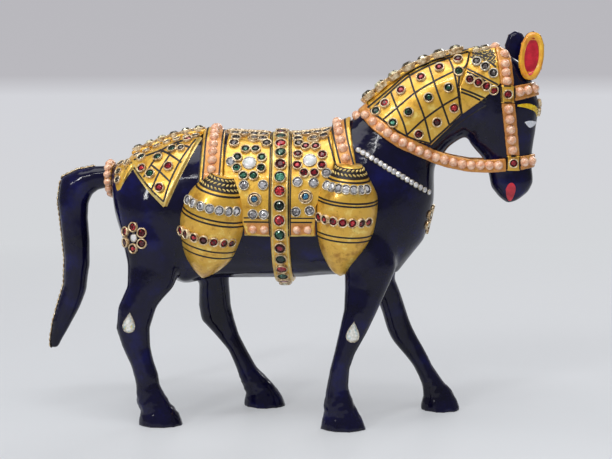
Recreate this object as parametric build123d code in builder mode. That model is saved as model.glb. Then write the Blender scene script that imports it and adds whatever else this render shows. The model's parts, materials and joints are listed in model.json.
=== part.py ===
from build123d import *
import math
import os

os.makedirs("parts", exist_ok=True)

# A cast horse figurine, enamelled dark, with a gilt saddle cloth, bands, four
# half pots and a bridle laid on it in relief, and stones and half pearls
# glued to them. X runs from the tail to the head, Z up, and the horse's right
# side faces -Y. The origin lies on the ground under the middle of the figure.

# Driving sizes, in millimetres
horse_height = 150
horse_length = 190
barrel_width = 43

# Relief heights of the gilt work over the enamelled casting
cloth_thickness = 1.0
band_thickness = 1.7
bridle_thickness = 1.1
rosette_thickness = 1.5
poll_thickness = 0.8
ridge_thickness = 2.4
ridge_width = 4.6

# Stones and half pearls
glue_gap = 0.1
gem_sides = 6
small_stone_radius = 0.95
stone_radius = 1.55
girth_stone_radius = 1.95
centre_stone_radius = 2.6
ringed_stone_radius = 2.0
crest_crystal_radius = 2.75
croup_crystal_radius = 2.3
pearl_radius = 1.4
drop_length = 7.3
drop_width = 5.0
pot_stone_radius = 1.4
stone_rise_share = 60
table_share = 45
pearl_rise_share = 75
pearl_top_share = 50
petal_circle_radius = 4.9
petal_count = 8
small_petal_circle_radius = 3.9
small_petal_count = 6
pot_stone_count = 7
pot_stone_step = 17
rear_pot_row_shares = (76, 47)
front_pot_row_shares = (83, 56)
rear_strap_pearl_count = 7
front_strap_pearl_count = 6
pearl_lean_step = 8.1
rein_pearl_count = 17
headstall_pearl_count = 4
cheek_pearl_count = 5
brow_pearl_count = 3
nose_pearl_count = 2
ring_pearl_count = 14
crest_crystal_count = 7
croup_crystal_count = 6
necklace_stone_count = 17
tail_stone_count = 40
front_ray_share = 20
barrel_middle_share = 55.1

# Harness
girth_width = 6.9
girth_stone_count = 34
rein_width = 4.8
rein_thickness = 1.5
ring_outer_radius = 6.6
ring_inner_radius = 4.8
ring_width = 2.6
ring_sides = 18

# Pots
rear_pot_radius = 12.3
rear_pot_height = 41
front_pot_radius = 11.2
front_pot_height = 42.6

# Ears
ear_length = 18.6
ear_width = 9.2
ear_thickness = 3.2
ear_rim = 1.3
ear_pocket_depth = 1.2
ear_fullness = 0.8

# Tail seat
tail_peg_radius = 2.6
tail_peg_length = 5
tail_peg_clearance = 0.1

percent = 100

# The bare figure reaches further back than forward of its barrel, so this
# share of the length brings the origin under the middle of the whole.
centre_share = 2.14

# The heights are counted from this much below the ground
ground_share = 0.95


def along(share):
    return horse_length * (share + centre_share) / percent


def rise(share):
    return horse_height * share / percent


def up(share):
    return rise(share - ground_share)


def across(share):
    return barrel_width * share / percent


def side_point(place):
    return Vector(along(place[0]), 0, up(place[1]))


# Stations of the barrel and neck: crest point, belly point and half width
trunk_shares = [
    (-37.5, 66.4, -37.2, 57.7, 14),
    (-36.3, 66.9, -36.3, 50.7, 25.6),
    (-33.7, 68.3, -34.5, 44.0, 37.2),
    (-28.9, 70.2, -30.5, 38.7, 45.3),
    (-22.1, 72.2, -23.2, 36.7, 47.7),
    (-14.7, 73.3, -14.7, 37.0, 47.7),
    (-5.5, 73.0, -5.5, 37.2, 49.8),
    (0.8, 73.1, 0.8, 37.4, 50.0),
    (6.3, 73.9, 5.3, 38.0, 48.8),
    (10.8, 76.0, 19.9, 38.7, 43.0),
    (13.7, 80.0, 25.3, 47.4, 33.7),
    (17.6, 84.7, 27.1, 57.0, 26.7),
    (22.1, 88.5, 27.1, 65.7, 23.3),
    (27.4, 91.5, 30.0, 70.7, 20.9),
    (32.6, 93.0, 33.2, 73.3, 19.8),
    (36.3, 93.3, 35.8, 76.7, 19.8),
]
trunk_sides = 20

# Stations of the head: front point, rear point and half width
head_shares = [
    (40.0, 94.0, 34.7, 93.3, 10.5),
    (43.4, 92.0, 33.2, 88.7, 18.6),
    (45.8, 87.3, 32.1, 82.7, 22.1),
    (47.4, 81.3, 32.4, 76.7, 21.6),
    (46.8, 75.3, 33.7, 71.7, 18.6),
    (46.2, 70.0, 36.6, 67.7, 15.3),
    (46.2, 65.3, 37.7, 63.9, 13.5),
    (46.5, 62.1, 38.2, 60.7, 14.4),
    (45.6, 59.7, 39.8, 58.2, 11.6),
    (43.6, 57.6, 41.4, 56.7, 7.0),
]
head_sides = 16

# Stations of the tail: outer point, inner point and half width
tail_shares = [
    (-36.8, 65.4, -36.8, 59.9, 9.8),
    (-39.1, 65.6, -39.1, 59.8, 9.8),
    (-41.5, 65.5, -40.8, 59.3, 10.7),
    (-45.0, 64.5, -42.1, 58.0, 11.2),
    (-47.9, 62.1, -42.9, 55.7, 11.6),
    (-49.1, 56.0, -43.1, 52.0, 11.6),
    (-48.6, 48.7, -42.8, 46.3, 11.4),
    (-48.1, 41.3, -42.9, 40.0, 10.7),
    (-48.5, 35.0, -44.1, 33.3, 9.8),
    (-49.9, 30.0, -45.9, 28.3, 8.4),
    (-51.1, 25.0, -47.9, 24.0, 6.7),
    (-51.6, 20.7, -49.2, 20.7, 5.1),
    (-51.6, 18.0, -50.1, 18.0, 3.5),
]
tail_sides = 12

# Stations of a leg: height, rear edge, front edge, middle from the centre
# plane and half width
right_hind_shares = [
    (56.0, -33.7, -21.1, 23, 21),
    (48.0, -34.7, -21.6, 26, 21),
    (41.3, -33.4, -22.9, 29, 17),
    (36.0, -33.3, -25.3, 33, 14),
    (30.7, -35.1, -27.4, 35, 12),
    (25.3, -35.5, -28.7, 36, 11),
    (20.7, -34.3, -28.6, 37, 9),
    (16.0, -32.6, -28.2, 37, 9),
    (11.3, -31.7, -27.3, 37, 9),
    (6.7, -31.6, -24.9, 37, 11),
    (4.0, -30.7, -23.2, 37, 12),
]
right_fore_shares = [
    (56.0, 4.2, 15.8, 21, 21),
    (48.0, 7.4, 19.5, 23, 21),
    (41.3, 9.5, 20.0, 27, 17),
    (36.0, 9.7, 18.2, 30, 14),
    (30.7, 9.6, 16.3, 34, 12),
    (25.3, 8.7, 14.3, 36, 10),
    (20.0, 7.8, 12.0, 37, 9),
    (16.0, 7.0, 10.9, 37, 9),
    (11.3, 6.3, 10.7, 37, 9),
    (7.3, 5.8, 11.8, 37, 11),
    (4.0, 5.7, 13.2, 37, 12),
]
left_hind_shares = [
    (56.0, -32.6, -18.9, 23, 21),
    (48.0, -30.0, -16.8, 26, 21),
    (41.3, -25.3, -14.7, 29, 17),
    (34.7, -21.6, -15.2, 33, 14),
    (28.0, -21.8, -14.9, 35, 12),
    (24.0, -21.3, -14.2, 36, 11),
    (20.0, -18.4, -13.3, 37, 9),
    (16.0, -15.7, -11.7, 37, 9),
    (11.3, -13.9, -9.6, 37, 9),
    (6.7, -12.6, -5.9, 37, 11),
    (4.0, -11.9, -4.4, 37, 12),
]
left_fore_shares = [
    (56.0, 4.2, 15.8, 21, 21),
    (48.0, 7.4, 18.9, 23, 21),
    (41.3, 10.3, 20.0, 27, 17),
    (36.0, 12.9, 19.5, 30, 14),
    (30.0, 16.0, 21.6, 34, 12),
    (22.7, 19.4, 24.3, 36, 10),
    (17.3, 21.6, 26.1, 37, 9),
    (12.7, 23.6, 27.5, 37, 9),
    (8.7, 24.9, 29.5, 37, 10),
    (6.0, 25.4, 31.6, 37, 11),
    (4.0, 25.4, 32.3, 37, 12),
]
leg_sides = 12
hoof_step_share = 0.3
hoof_lip_share = 0.3
hoof_flare_share = 0.8
hoof_forward_share = 0.4

right_side = -1
left_side = 1
upright = Vector(0.1, 0, 1)

# A ray that seats a stone starts this little aside, so it never runs along an edge
ray_shift = Vector(0.011, 0.007, 0.013)
legs = [
    (right_hind_shares, right_side),
    (right_fore_shares, right_side),
    (left_hind_shares, left_side),
    (left_fore_shares, left_side),
]


def section_plane(upper, lower):
    """The plane across the body through two points of its side view."""
    span = upper - lower
    return Plane(origin=(upper + lower) / 2, x_dir=(0, 1, 0), z_dir=span.cross(Vector(0, 1, 0)))


def oval_ring(place, half_width, half_height, sides):
    """Corners of a many-sided oval on a plane, with a flat side on each axis."""
    corners = []
    for index in range(sides):
        angle = 2 * math.pi * (index + 0.5) / sides
        corner = (half_width * math.cos(angle), half_height * math.sin(angle), 0)
        corners.append(place.from_local_coords(Vector(*corner)))
    return corners


def facet(*corners):
    return Face(Wire.make_polygon(corners))


def skinned_form(rings, mode=Mode.ADD):
    """Adds the solid that plane facets close over rings of corners, alike left and right."""
    facets = [facet(*rings[0]), facet(*rings[-1])]
    for ring, next_ring in zip(rings, rings[1:]):
        for index, corner in enumerate(ring):
            neighbour = (index + 1) % len(ring)
            if index < len(ring) / 4 or index >= len(ring) * 3 / 4 - 1:
                facets.append(facet(corner, ring[neighbour], next_ring[neighbour]))
                facets.append(facet(corner, next_ring[neighbour], next_ring[index]))
            else:
                facets.append(facet(corner, ring[neighbour], next_ring[index]))
                facets.append(facet(ring[neighbour], next_ring[neighbour], next_ring[index]))
    add(Solid(Shell(facets)), mode=mode)


def body_form(stations, sides, growth=0):
    """A form through stations of the side view, grown for what lies on it."""
    rings = []
    for front_x, front_z, rear_x, rear_z, half_width in stations:
        upper = side_point((front_x, front_z))
        lower = side_point((rear_x, rear_z))
        half_height = (upper - lower).length / 2
        place = section_plane(upper, lower)
        rings.append(oval_ring(place, across(half_width) + growth, half_height + growth, sides))
    skinned_form(rings)


def leg_ring(height, rear, front, middle, half_width, side, spread=0):
    centre = Vector((along(rear) + along(front)) / 2, side * across(middle), up(height))
    place = Plane(origin=centre, x_dir=(0, 1, 0), z_dir=(0, 0, 1))
    half_length = (along(front) - along(rear)) / 2
    return oval_ring(place, across(half_width) + spread, half_length + spread, leg_sides)


def leg_form(stations, side):
    """A leg down to the coronet, and the hoof that flares from it to the ground."""
    rings = [leg_ring(*station, side) for station in stations]
    height, rear, front, middle, half_width = stations[-1]
    lip_height = height - hoof_step_share
    rings.append(leg_ring(lip_height, rear, front, middle, half_width, side, rise(hoof_lip_share)))
    sole_front = front + hoof_forward_share
    flare = rise(hoof_flare_share)
    rings.append(leg_ring(ground_share, rear, sole_front, middle, half_width, side, flare))
    skinned_form(rings)


def tail_root_plane():
    upper = side_point(trunk_shares[0][0:2])
    lower = side_point(trunk_shares[0][2:4])
    place = section_plane(upper, lower)
    root = (side_point(tail_shares[0][0:2]) + side_point(tail_shares[0][2:4])) / 2
    seat = root - place.z_dir * (root - place.origin).dot(place.z_dir)
    return Plane(origin=seat, x_dir=place.x_dir, z_dir=place.z_dir)


def write(piece, name):
    piece.part.label = name
    export_step(piece.part, f"parts/{name}.step")


tail_root = tail_root_plane()

with BuildPart() as horse_casting:
    body_form(trunk_shares, trunk_sides)
    body_form(head_shares, head_sides)
    for leg_stations, leg_side in legs:
        leg_form(leg_stations, leg_side)
    with BuildSketch(tail_root):
        Circle(tail_peg_radius + tail_peg_clearance)
    extrude(amount=-tail_peg_length - tail_peg_clearance, mode=Mode.SUBTRACT)
write(horse_casting, "horse_casting")


def outline_prism(outline_shares):
    """Keeps what of a grown form lies inside an outline of the side view."""
    with BuildSketch(Plane.XZ) as outline:
        Polygon(*[(along(x), up(z)) for x, z in outline_shares], align=None)
    extrude(outline.sketch, amount=barrel_width, both=True, mode=Mode.INTERSECT)


def relief(outline_shares, thickness, forms, under):
    """A gilt piece of even thickness that lies on the casting inside an outline."""
    with BuildPart() as piece:
        for stations, sides in forms:
            body_form(stations, sides, thickness)
        outline_prism(outline_shares)
        add(horse_casting.part, mode=Mode.SUBTRACT)
        for lower_piece in under:
            add(lower_piece.part, mode=Mode.SUBTRACT)
    return piece


barrel = [(trunk_shares[2:12], trunk_sides)]
neck = [(trunk_shares[8:16], trunk_sides)]
poll = [(trunk_shares[12:16], trunk_sides), (head_shares, head_sides)]
head = [(head_shares, head_sides)]

# Outlines in the side view, as shares of the length and the height
girth_middle_share = -2.45
girth_top_share = 80
girth_foot_share = 30
saddle_outline = [
    (-13.6, 80),
    (6.0, 80),
    (7.9, 66.7),
    (6.8, 61.0),
    (4.4, 56.6),
    (4.2, 49.3),
    (-8.7, 49.3),
    (-13.6, 63.3),
]
rear_strap_outline = [(-18.2, 62.0), (-17.6, 80), (-13.6, 80), (-13.6, 62.0)]
front_strap_outline = [(7.9, 66.7), (6.0, 80), (10.3, 80), (10.5, 75.3), (12.3, 64.7), (8.2, 64.7)]
croup_outline = [
    (-18.2, 75.3),
    (-19.3, 72.3),
    (-24.8, 56.1),
    (-32.2, 66.0),
    (-34.6, 59.9),
    (-36.6, 62.0),
    (-36.6, 69.3),
    (-28.9, 74.7),
]
neck_outline = [
    (14.4, 79.3),
    (11.1, 85.3),
    (33.7, 97.3),
    (33.8, 93.8),
    (33.1, 90.4),
    (31.5, 84.9),
    (32.1, 78.6),
    (26.3, 71.2),
    (22.3, 72.8),
    (19.5, 74.6),
    (17.0, 77.0),
]
poll_outline = [
    (33.7, 97.3),
    (38.0, 98.0),
    (39.4, 86.0),
    (36.1, 82.3),
    (32.1, 78.6),
    (31.5, 84.9),
    (33.1, 90.4),
    (33.8, 93.8),
]
headstall_outline = [(38.0, 98.0), (41.0, 98.0), (42.0, 85.7), (39.4, 85.7)]
upper_rosette_outline = [(39.4, 85.7), (42.0, 85.7), (42.1, 81.5), (39.5, 81.5)]
cheek_outline = [(39.6, 81.5), (42.2, 81.5), (43.4, 68.7), (40.9, 68.7)]
lower_rosette_outline = [(40.9, 68.7), (43.4, 68.7), (43.5, 65.0), (40.9, 65.0)]
browband_outline = [(42.0, 85.6), (50.5, 87.8), (50.5, 84.6), (42.1, 81.9)]
noseband_outline = [(43.4, 68.5), (50.5, 69.8), (50.5, 66.6), (43.5, 65.1)]
neck_rein_outline = [
    (11.4, 78.6),
    (11.8, 82.4),
    (14.6, 79.2),
    (19.5, 74.7),
    (26.8, 70.2),
    (26.8, 66.8),
    (19.6, 70.9),
    (14.1, 75.7),
]

saddle_cloth = relief(saddle_outline, cloth_thickness, barrel, [])
rear_strap = relief(rear_strap_outline, band_thickness, barrel, [])
front_strap = relief(front_strap_outline, band_thickness, barrel, [saddle_cloth])
croup_cloth = relief(croup_outline, cloth_thickness, barrel, [rear_strap])
neck_cloth = relief(neck_outline, cloth_thickness, neck, [front_strap])
poll_cloth = relief(poll_outline, poll_thickness, poll, [neck_cloth])
headstall = relief(headstall_outline, bridle_thickness, poll, [poll_cloth])
upper_rosettes = relief(upper_rosette_outline, rosette_thickness, head, [headstall, poll_cloth])
lower_rosettes = relief(lower_rosette_outline, rosette_thickness, head, [])
cheek_straps = relief(cheek_outline, bridle_thickness, head, [upper_rosettes, lower_rosettes])
browband = relief(browband_outline, bridle_thickness, head, [upper_rosettes])
noseband = relief(noseband_outline, bridle_thickness, head, [lower_rosettes])
write(saddle_cloth, "saddle_cloth")
write(rear_strap, "saddle_strap_rear")
write(front_strap, "saddle_strap_front")
write(croup_cloth, "croup_cloth")
write(neck_cloth, "neck_cloth")
write(poll_cloth, "poll_cloth")
write(headstall, "headstall")
write(upper_rosettes, "rosettes_upper")
write(lower_rosettes, "rosettes_lower")
write(cheek_straps, "cheek_straps")
write(browband, "browband")
write(noseband, "noseband")

# The girth runs right round the barrel, over the saddle cloth
with BuildPart() as girth_band:
    body_form(trunk_shares[5:9], trunk_sides, band_thickness)
    with BuildSketch(Plane.XZ) as girth_outline:
        with Locations((along(girth_middle_share), up((girth_top_share + girth_foot_share) / 2))):
            Rectangle(girth_width, rise(girth_top_share - girth_foot_share))
    extrude(girth_outline.sketch, amount=barrel_width, both=True, mode=Mode.INTERSECT)
    add(horse_casting.part, mode=Mode.SUBTRACT)
    add(saddle_cloth.part, mode=Mode.SUBTRACT)
write(girth_band, "girth_band")

# A raised ridge carries the big stones along the crest, another those along the croup
crest_ridge_outline = [(13.4, 78.5), (13.0, 99), (34.6, 99), (34.6, 92.5), (31.0, 88.0), (22.0, 82.0)]
croup_ridge_outline = [(-35.0, 60.0), (-35.0, 80.0), (-18.4, 80.0), (-18.4, 66.0)]


def ridge(outline_shares, stations, under):
    """A rib of even width along the top line of the body."""
    with BuildPart() as piece:
        body_form(stations, trunk_sides, ridge_thickness)
        outline_prism(outline_shares)
        with BuildSketch(Plane.XY) as slab:
            Rectangle(horse_length * 2, ridge_width)
        extrude(slab.sketch, amount=horse_height, mode=Mode.INTERSECT)
        add(horse_casting.part, mode=Mode.SUBTRACT)
        for lower_piece in under:
            add(lower_piece.part, mode=Mode.SUBTRACT)
    return piece


crest_ridge = ridge(crest_ridge_outline, trunk_shares[9:16], [neck_cloth, poll_cloth, headstall])
croup_ridge = ridge(croup_ridge_outline, trunk_shares[2:6], [croup_cloth, rear_strap])
write(crest_ridge, "crest_ridge")
write(croup_ridge, "croup_ridge")

# The rein lies on the neck, then runs free under the jaw to the lower rosette
rein_route_shares = [
    (25.3, 69.2, 16.5),
    (27.6, 68.1, 17.0),
    (30.0, 67.2, 18.6),
    (33.7, 66.3, 18.8),
    (37.2, 66.1, 18.0),
    (40.8, 66.4, 16.4),
]


def rein_stretch(side):
    """The free band of one side, through sections square to its route."""
    points = [Vector(along(x), side * across(y), up(z)) for x, z, y in rein_route_shares]
    sections = []
    for index, point in enumerate(points):
        before = points[max(index - 1, 0)]
        after = points[min(index + 1, len(points) - 1)]
        place = Plane(origin=point, x_dir=(0, 1, 0), z_dir=after - before)
        corners = []
        for across_sign, along_sign in ((1, 1), (-1, 1), (-1, -1), (1, -1)):
            corner = (across_sign * rein_thickness / 2, along_sign * rein_width / 2, 0)
            corners.append(place.from_local_coords(Vector(*corner)))
        sections.append(corners)
    skinned_form(sections)


with BuildPart() as rein:
    body_form(trunk_shares[8:14], trunk_sides, bridle_thickness)
    outline_prism(neck_rein_outline)
    for rein_side in (right_side, left_side):
        rein_stretch(rein_side)
    for lower_piece in (horse_casting, neck_cloth, front_strap, crest_ridge, lower_rosettes):
        add(lower_piece.part, mode=Mode.SUBTRACT)
write(rein, "rein")

# The crupper ring stands against the rump round the root of the tail
with BuildPart() as crupper_ring:
    with BuildSketch(tail_root):
        RegularPolygon(ring_outer_radius, ring_sides)
        RegularPolygon(ring_inner_radius, ring_sides, mode=Mode.SUBTRACT)
    extrude(amount=ring_width)
    add(horse_casting.part, mode=Mode.SUBTRACT)
write(crupper_ring, "crupper_ring")

# The tail is a casting of its own, pegged into the rump through the ring
with BuildPart() as tail:
    body_form(tail_shares, tail_sides)
    split(bisect_by=tail_root, keep=Keep.TOP)
    with BuildSketch(tail_root):
        Circle(tail_peg_radius)
    extrude(amount=-tail_peg_length)
write(tail, "tail")

# Ears: foot and tip in the side view, and the middle from the centre plane
right_ear_shares = ((44.9, 86.7), (45.7, 98.8))
left_ear_shares = ((43.5, 87.2), (42.7, 98.8))
ear_spread_share = 13.5
ear_sides = 12


def leaf_ring(place, foot, length, width):
    """Corners of a leaf with its two points on the plane's Y axis."""
    corners = []
    for index in range(ear_sides):
        angle = 2 * math.pi * index / ear_sides
        bulge = math.copysign(abs(math.sin(angle)) ** ear_fullness, math.sin(angle))
        corner = (width / 2 * bulge, foot + length * (1 - math.cos(angle)) / 2, 0)
        corners.append(place.from_local_coords(Vector(*corner)))
    return corners


def ear(places, side):
    """A leaf with rounded edges and a pocket in its outward face."""
    foot = side_point(places[0])
    direction = (side_point(places[1]) - foot).normalized()
    outward = Vector(0, side, 0)
    middle = Plane(
        origin=foot + outward * across(ear_spread_share),
        x_dir=direction.cross(outward),
        z_dir=outward,
    )
    back = middle.offset(-ear_thickness / 2)
    face = middle.offset(ear_thickness / 2)
    pocket_floor = middle.offset(ear_thickness / 2 - ear_pocket_depth)
    face_length = ear_length - ear_rim * 2
    pocket_length = ear_length - ear_rim * 4
    pocket_width = ear_width - ear_rim * 2
    with BuildPart() as piece:
        skinned_form([
            leaf_ring(back, ear_rim, face_length, pocket_width),
            leaf_ring(middle, 0, ear_length, ear_width),
            leaf_ring(face, ear_rim, face_length, ear_width - ear_rim),
        ])
        skinned_form([
            leaf_ring(pocket_floor, ear_rim * 2, pocket_length, pocket_width),
            leaf_ring(face, ear_rim * 2, pocket_length, pocket_width),
        ], mode=Mode.SUBTRACT)
        for lower_piece in (horse_casting, headstall, browband):
            add(lower_piece.part, mode=Mode.SUBTRACT)
    return piece


write(ear(right_ear_shares, right_side), "ear_right")
write(ear(left_ear_shares, left_side), "ear_left")

# Half pots hang on the flanks: places of tip and mouth, with their distances
# from the centre plane
rear_pot_shares = ((-18.7, 37.9), (-14.0, 64.3), 25, 44)
front_pot_shares = ((8.7, 38.9), (10.8, 67.4), 26, 44)
pot_sides = 16

# Radius and height of each rim of a pot, as shares of its own sizes
pot_rim_shares = [
    (5, 0),
    (28, 5),
    (51, 12),
    (68, 20),
    (87, 34),
    (98, 46),
    (100, 58),
    (98, 68),
    (91, 78),
    (76, 85),
    (59, 91),
    (40, 100),
]


def pot_axis(places, side):
    tip_place, mouth_place, tip_depth, mouth_depth = places
    tip = side_point(tip_place) + Vector(0, side * across(tip_depth), 0)
    mouth = side_point(mouth_place) + Vector(0, side * across(mouth_depth), 0)
    return tip, (mouth - tip).normalized()


def pot(places, height, radius, side):
    tip, direction = pot_axis(places, side)
    axis_plane = Plane(origin=tip, x_dir=(0, 1, 0), z_dir=direction)
    rims = []
    for radius_share, height_share in pot_rim_shares:
        rim_plane = axis_plane.offset(height * height_share / percent)
        rim_radius = radius * radius_share / percent
        rims.append(oval_ring(rim_plane, rim_radius, rim_radius, pot_sides))
    with BuildPart() as piece:
        skinned_form(rims)
        for lower_piece in (horse_casting, saddle_cloth, rear_strap, front_strap):
            add(lower_piece.part, mode=Mode.SUBTRACT)
    return piece


pots = {}
for pot_side, side_name in ((right_side, "right"), (left_side, "left")):
    pots["rear", pot_side] = pot(rear_pot_shares, rear_pot_height, rear_pot_radius, pot_side)
    pots["front", pot_side] = pot(front_pot_shares, front_pot_height, front_pot_radius, pot_side)
    write(pots["rear", pot_side], f"pot_rear_{side_name}")
    write(pots["front", pot_side], f"pot_front_{side_name}")


def outer_seat(carrier, origin, direction):
    """The plane a hair off the outer face that a ray meets last on its carrier."""
    hits = []
    for solid in carrier.part.solids():
        hits += solid.find_intersection_points(Axis(origin + ray_shift, direction))
    point, normal = max(hits, key=lambda hit: (hit[0] - origin).dot(direction))
    outward = normal if normal.dot(direction) > 0 else -normal
    return Plane(origin=point + outward * glue_gap, x_dir=upright.cross(outward), z_dir=outward)


def side_seats(carrier, places, sides=(right_side, left_side)):
    """Seats at side view places, on both sides of the horse or on one."""
    seats = []
    for side in sides:
        for place in places:
            seats.append(outer_seat(carrier, side_point(place), Vector(0, side, 0)))
    return seats


def front_seats(carrier, places):
    """Seats facing forward: distances from the centre plane and heights."""
    seats = []
    for y_share, z_share in places:
        origin = Vector(along(front_ray_share), across(y_share), up(z_share))
        seats.append(outer_seat(carrier, origin, Vector(1, 0, 0)))
    return seats


def edge_seats(carrier, stations, count):
    """Seats evenly along the outer edge of a form, facing away from its inner edge."""
    uppers = [side_point(station[0:2]) for station in stations]
    lowers = [side_point(station[2:4]) for station in stations]
    edge = Polyline(*uppers, mode=Mode.PRIVATE)
    spans = edge.edges()
    seats = []
    for index in range(count):
        mark = edge.position_at((index + 0.5) / count)
        span = min(range(len(spans)), key=lambda number: spans[number].distance_to(mark))
        part_way = (mark - uppers[span]).length / (uppers[span + 1] - uppers[span]).length
        inner = lowers[span] + (lowers[span + 1] - lowers[span]) * part_way
        seats.append(outer_seat(carrier, (mark + inner) / 2, (mark - inner).normalized()))
    return seats


def barrel_seats(carrier, lean_degrees, top_place, foot_place):
    """Seats round the barrel on a line of the side view, at leans from the top."""
    half_height = rise(top_place[1] - barrel_middle_share)
    seats = []
    for lean in lean_degrees:
        turn = math.radians(lean)
        height = up(barrel_middle_share) + half_height * math.cos(turn)
        part_way = (up(top_place[1]) - height) / rise(top_place[1] - foot_place[1])
        x_share = top_place[0] + (foot_place[0] - top_place[0]) * part_way
        direction = Vector(0, barrel_width / 2 * math.sin(turn), half_height * math.cos(turn))
        origin = side_point((x_share, barrel_middle_share))
        seats.append(outer_seat(carrier, origin, direction.normalized()))
    return seats


def pot_seats(pieces, places, height, side, height_share):
    """Seats in a row round the outward half of a pot."""
    tip, direction = pot_axis(places, side)
    outward = Vector(0, side, 0)
    outward = (outward - direction * outward.dot(direction)).normalized()
    sideways = outward.cross(direction)
    seats = []
    for index in range(pot_stone_count):
        turn = math.radians(pot_stone_step * (index - (pot_stone_count - 1) / 2))
        ray = outward * math.cos(turn) + sideways * math.sin(turn)
        seats.append(outer_seat(pieces, tip + direction * height * height_share / percent, ray))
    return seats


def line_places(corners, count):
    """Places evenly along a broken line of the side view."""
    line = Polyline(*[side_point(corner) for corner in corners], mode=Mode.PRIVATE)
    places = []
    for index in range(count):
        point = line.position_at((index + 0.5) / count)
        x_share = point.X * percent / horse_length - centre_share
        places.append((x_share, point.Z * percent / horse_height + ground_share))
    return places


def round_places(centre, radius, count):
    """Places evenly round a centre of the side view."""
    places = []
    for index in range(count):
        angle = 2 * math.pi * (index + 0.5) / count
        x_share = centre[0] + percent * radius * math.cos(angle) / horse_length
        z_share = centre[1] + percent * radius * math.sin(angle) / horse_height
        places.append((x_share, z_share))
    return places


def gem(half_width, half_length, rise_share, top_share):
    """A stone or half pearl that narrows from its foot to its top."""
    with BuildPart() as piece:
        skinned_form([
            oval_ring(Plane.XY, half_width, half_length, gem_sides),
            oval_ring(
                Plane.XY.offset(half_width * rise_share / percent),
                half_width * top_share / percent,
                half_length * top_share / percent,
                gem_sides,
            ),
        ])
    return piece


def pointed_gem(radius):
    """A small stone whose facets meet in a point."""
    foot = oval_ring(Plane.XY, radius, radius, gem_sides)
    point = Vector(0, 0, radius * stone_rise_share / percent)
    facets = [facet(*foot)]
    for index, corner in enumerate(foot):
        facets.append(facet(corner, foot[(index + 1) % gem_sides], point))
    with BuildPart() as piece:
        add(Solid(Shell(facets)))
    return piece


def group(name, model, seats):
    """Copies of a stone or pearl glued at their seats, as one node."""
    with BuildPart() as pieces:
        with Locations(*[Location(place) for place in seats]):
            add(model.part)
    write(pieces, name)


small_stone = pointed_gem(small_stone_radius)
pot_stone = pointed_gem(pot_stone_radius)
plain_stone = gem(stone_radius, stone_radius, stone_rise_share, table_share)
girth_stone = gem(girth_stone_radius, girth_stone_radius, stone_rise_share, table_share)
ringed_stone = gem(ringed_stone_radius, ringed_stone_radius, stone_rise_share, table_share)
centre_stone = gem(centre_stone_radius, centre_stone_radius, stone_rise_share, table_share)
crest_crystal = gem(crest_crystal_radius, crest_crystal_radius, stone_rise_share, table_share)
croup_crystal = gem(croup_crystal_radius, croup_crystal_radius, stone_rise_share, table_share)
drop = gem(drop_width / 2, drop_length / 2, stone_rise_share, table_share)
half_pearl = gem(pearl_radius, pearl_radius, pearl_rise_share, pearl_top_share)

# The girth carries green and red stones in turn, green at the top
girth_step = 360 / girth_stone_count
girth_top = (girth_middle_share, trunk_shares[6][1])
girth_foot = (girth_middle_share, barrel_middle_share)
green_leans = [girth_step * index for index in range(0, girth_stone_count, 2)]
red_leans = [girth_step * index for index in range(1, girth_stone_count, 2)]
group("girth_stones_green", girth_stone, barrel_seats(girth_band, green_leans, girth_top, girth_foot))
group("girth_stones_red", girth_stone, barrel_seats(girth_band, red_leans, girth_top, girth_foot))

# Two flowers a side on the saddle cloth, with single stones round them
rear_flower = (-8.6, 66.9)
front_flower = (3.1, 67.6)
saddle_clear_places = [
    (-12.2, 67.1),
    (-9.4, 61.6),
    (-5.7, 61.7),
    (-7.6, 54.7),
    (-5.5, 54.7),
    (0.9, 62.5),
    (4.0, 62.3),
    (0.7, 55.4),
    (3.3, 55.7),
    (6.4, 64.6),
]
saddle_blue_places = [(-7.3, 58.3), (2.5, 59.0)]
saddle_ringed_places = [(-8.2, 72.3), (3.6, 72.4)]
saddle_top_places = [(-12.0, 71.3), (-5.6, 71.3), (0.7, 71.3)]
hem_pearl_places = [(-7.7, 50.9), (-5.5, 50.9), (0.8, 50.9), (2.9, 50.9)]
rear_petals = round_places(rear_flower, petal_circle_radius, petal_count)
front_petals = round_places(front_flower, petal_circle_radius, petal_count)
group("flower_centres", centre_stone, side_seats(saddle_cloth, [rear_flower, front_flower]))
group("flower_stones_green", plain_stone, side_seats(saddle_cloth, rear_petals))
group("flower_stones_red", plain_stone, side_seats(saddle_cloth, front_petals))
group("saddle_stones_clear", plain_stone, side_seats(saddle_cloth, saddle_clear_places))
group("saddle_stones_blue", ringed_stone, side_seats(saddle_cloth, saddle_blue_places))
group("saddle_stones_ringed", ringed_stone, side_seats(saddle_cloth, saddle_ringed_places))
group("saddle_stones_top", plain_stone, side_seats(saddle_cloth, saddle_top_places))
group("hem_pearls", half_pearl, side_seats(saddle_cloth, hem_pearl_places))

# Pearl rows over the back on both straps


def strap_leans(side_count):
    return [pearl_lean_step * index for index in range(-side_count, side_count + 1)]


rear_strap_row = ((-15.5, 73.3), (-15.9, 64.0))
front_strap_row = ((8.1, 74.0), (10.1, 67.0))
rear_leans = strap_leans(rear_strap_pearl_count)
front_leans = strap_leans(front_strap_pearl_count)
group("strap_pearls_rear", half_pearl, barrel_seats(rear_strap, rear_leans, *rear_strap_row))
group("strap_pearls_front", half_pearl, barrel_seats(front_strap, front_leans, *front_strap_row))

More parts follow.
